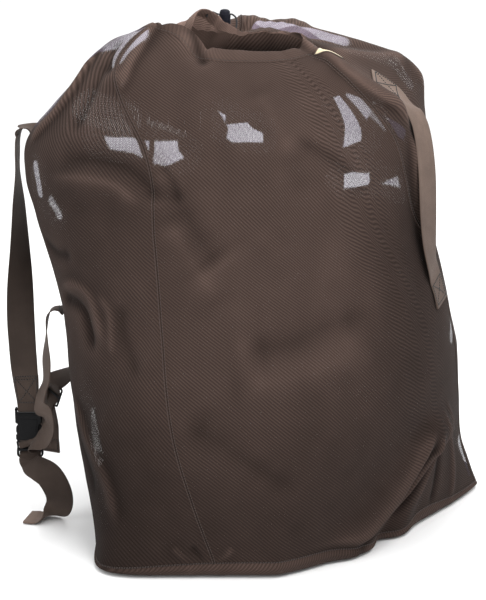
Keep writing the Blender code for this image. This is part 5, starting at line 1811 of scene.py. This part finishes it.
def build_cord(context):
    """The draw cord's short run outside the hem, through its lock."""
    keys = np.arange(len(CORD_ROUTE))
    points = open_curve(keys, CORD_ROUTE, np.linspace(0, keys[-1], 37))
    curve = bpy.data.curves.new("draw_cord_line", "CURVE")
    curve.dimensions = "3D"
    curve.bevel_depth = CORD / 2
    curve.bevel_resolution = 4
    curve.use_fill_caps = True
    line = curve.splines.new("POLY")
    line.points.add(len(points) - 1)
    line.use_smooth = True
    for spot, point in zip(line.points, points):
        spot.co = (*point, 1)
    obj = linked("draw_cord_line", curve, finish_of("cord", context))
    placed(obj, "cord_black", "draw_cord")


# Stage

FLOOR_REACH = 60
AIM = (0, 0, 0.43)
SENSOR = 36


def build_stage(context):
    """A plain pale floor, even light with three soft lamps, and the camera."""
    stage = context.scene.mesh_bag_stage
    floor = bpy.data.meshes.new("floor")
    corners = [(FLOOR_REACH * x, FLOOR_REACH * y, 0) for x, y in ((-1, -1), (1, -1), (1, 1), (-1, 1))]
    floor.from_pydata(corners, [], [(0, 1, 2, 3)])
    plane = linked("floor", floor, floor_finish("floor_paper", stage.floor))
    plane.location = (0, 0, -0.0006)
    world = bpy.data.worlds.new("studio")
    context.scene.world = world
    world.use_nodes = True
    nodes, links = world.node_tree.nodes, world.node_tree.links
    back = nodes["Background"]
    back.inputs["Strength"].default_value = stage.sky
    where = nodes.new("ShaderNodeTexCoord")
    split = nodes.new("ShaderNodeSeparateXYZ")
    links.new(where.outputs["Generated"], split.inputs[0])
    fade = nodes.new("ShaderNodeValToRGB")
    fade.color_ramp.elements[0].position = 0.0
    fade.color_ramp.elements[0].color = (0.62, 0.62, 0.63, 1)
    fade.color_ramp.elements[1].position = 0.8
    fade.color_ramp.elements[1].color = (1.30, 1.30, 1.30, 1)
    links.new(split.outputs["Z"], fade.inputs[0])
    links.new(fade.outputs["Color"], back.inputs["Color"])
    for name, place, aim, size, power in (
        ("key", (0.9, -1.6, 2.9), (0.05, -0.1, 0.6), 1.6, stage.key),
        ("fill", (-2.6, -1.8, 1.4), (-0.1, 0, 0.5), 1.8, stage.key * 0.25),
        ("back", (0.6, 2.2, 2.6), (0, 0, 0.8), 1.6, stage.key * 0.6),
    ):
        lamp = bpy.data.lights.new(name, "AREA")
        lamp.shape = "DISK"
        lamp.size = size
        lamp.energy = power
        obj = bpy.data.objects.new(name, lamp)
        context.scene.collection.objects.link(obj)
        obj.location = place
        obj.rotation_euler = (Vector(aim) - obj.location).to_track_quat("-Z", "Y").to_euler()
    camera = bpy.data.objects.new("camera", bpy.data.cameras.new("camera"))
    context.scene.collection.objects.link(camera)
    target = Vector(AIM)
    away = Vector((0, -math.cos(stage.elevation), math.sin(stage.elevation)))
    camera.location = target + away * stage.distance
    camera.rotation_euler = (target - camera.location).to_track_quat("-Z", "Y").to_euler()
    camera.data.lens = stage.lens
    camera.data.sensor_width = SENSOR
    context.scene.camera = camera
    context.scene.view_settings.view_transform = "Standard"


# Operators, one for each piece or group of pieces


class MESHBAG_OT_walls(Operator):
    """Build the three mesh walls of the bag"""

    bl_idname = "mesh_bag.walls"
    bl_label = "Mesh walls"

    def execute(self, context):
        build_walls(context)
        return {"FINISHED"}


class MESHBAG_OT_bottom(Operator):
    """Build the mesh bottom"""

    bl_idname = "mesh_bag.bottom"
    bl_label = "Mesh bottom"

    def execute(self, context):
        build_bottom(context)
        return {"FINISHED"}


class MESHBAG_OT_hem(Operator):
    """Build the hem round the mouth"""

    bl_idname = "mesh_bag.hem"
    bl_label = "Mouth hem"

    def execute(self, context):
        build_hem(context)
        return {"FINISHED"}


class MESHBAG_OT_seams(Operator):
    """Build the felled seams and their stitches"""

    bl_idname = "mesh_bag.seams"
    bl_label = "Seams"

    def execute(self, context):
        build_seams(context)
        return {"FINISHED"}


class MESHBAG_OT_label(Operator):
    """Build the bare label"""

    bl_idname = "mesh_bag.label"
    bl_label = "Label"

    def execute(self, context):
        build_label(context)
        return {"FINISHED"}


class MESHBAG_OT_straps(Operator):
    """Build the webbing straps and their sewn boxes"""

    bl_idname = "mesh_bag.straps"
    bl_label = "Straps"

    def execute(self, context):
        build_straps(context)
        return {"FINISHED"}


class MESHBAG_OT_buckle(Operator):
    """Build the side release buckle and the slider"""

    bl_idname = "mesh_bag.buckle"
    bl_label = "Buckle and slider"

    def execute(self, context):
        build_socket(context)
        build_plug(context)
        build_slider(context)
        return {"FINISHED"}


class MESHBAG_OT_cord(Operator):
    """Build the draw cord and its lock"""

    bl_idname = "mesh_bag.cord"
    bl_label = "Draw cord and lock"

    def execute(self, context):
        build_lock(context)
        build_cord(context)
        return {"FINISHED"}


class MESHBAG_OT_stage(Operator):
    """Build the floor, the lights and the camera"""

    bl_idname = "mesh_bag.stage"
    bl_label = "Stage"

    def execute(self, context):
        build_stage(context)
        return {"FINISHED"}


OPERATORS = (
    MESHBAG_OT_stage,
    MESHBAG_OT_walls,
    MESHBAG_OT_cord,
    MESHBAG_OT_bottom,
    MESHBAG_OT_hem,
    MESHBAG_OT_seams,
    MESHBAG_OT_label,
    MESHBAG_OT_straps,
    MESHBAG_OT_buckle,
)


class MESHBAG_PT_panel(Panel):
    """Settings and steps of the mesh bag"""

    bl_idname = "MESHBAG_PT_panel"
    bl_label = "Mesh Decoy Bag"
    bl_space_type = "VIEW_3D"
    bl_region_type = "UI"
    bl_category = "Mesh Bag"

    def draw(self, context):
        for name, group in SETTINGS.items():
            box = self.layout.box()
            for key in group.__annotations__:
                box.prop(getattr(context.scene, name), key)
        for operator in OPERATORS:
            self.layout.operator(operator.bl_idname)


def register():
    for group in SETTINGS.values():
        bpy.utils.register_class(group)
    for name, group in SETTINGS.items():
        setattr(bpy.types.Scene, name, PointerProperty(type=group))
    for operator in OPERATORS:
        bpy.utils.register_class(operator)
    bpy.utils.register_class(MESHBAG_PT_panel)


def unregister():
    bpy.utils.unregister_class(MESHBAG_PT_panel)
    for operator in reversed(OPERATORS):
        bpy.utils.unregister_class(operator)
    for name, group in SETTINGS.items():
        delattr(bpy.types.Scene, name)
        bpy.utils.unregister_class(group)


def main():
    register()
    for operator in OPERATORS:
        family, name = operator.bl_idname.split(".")
        getattr(getattr(bpy.ops, family), name)()


if __name__ == "__main__":
    main()
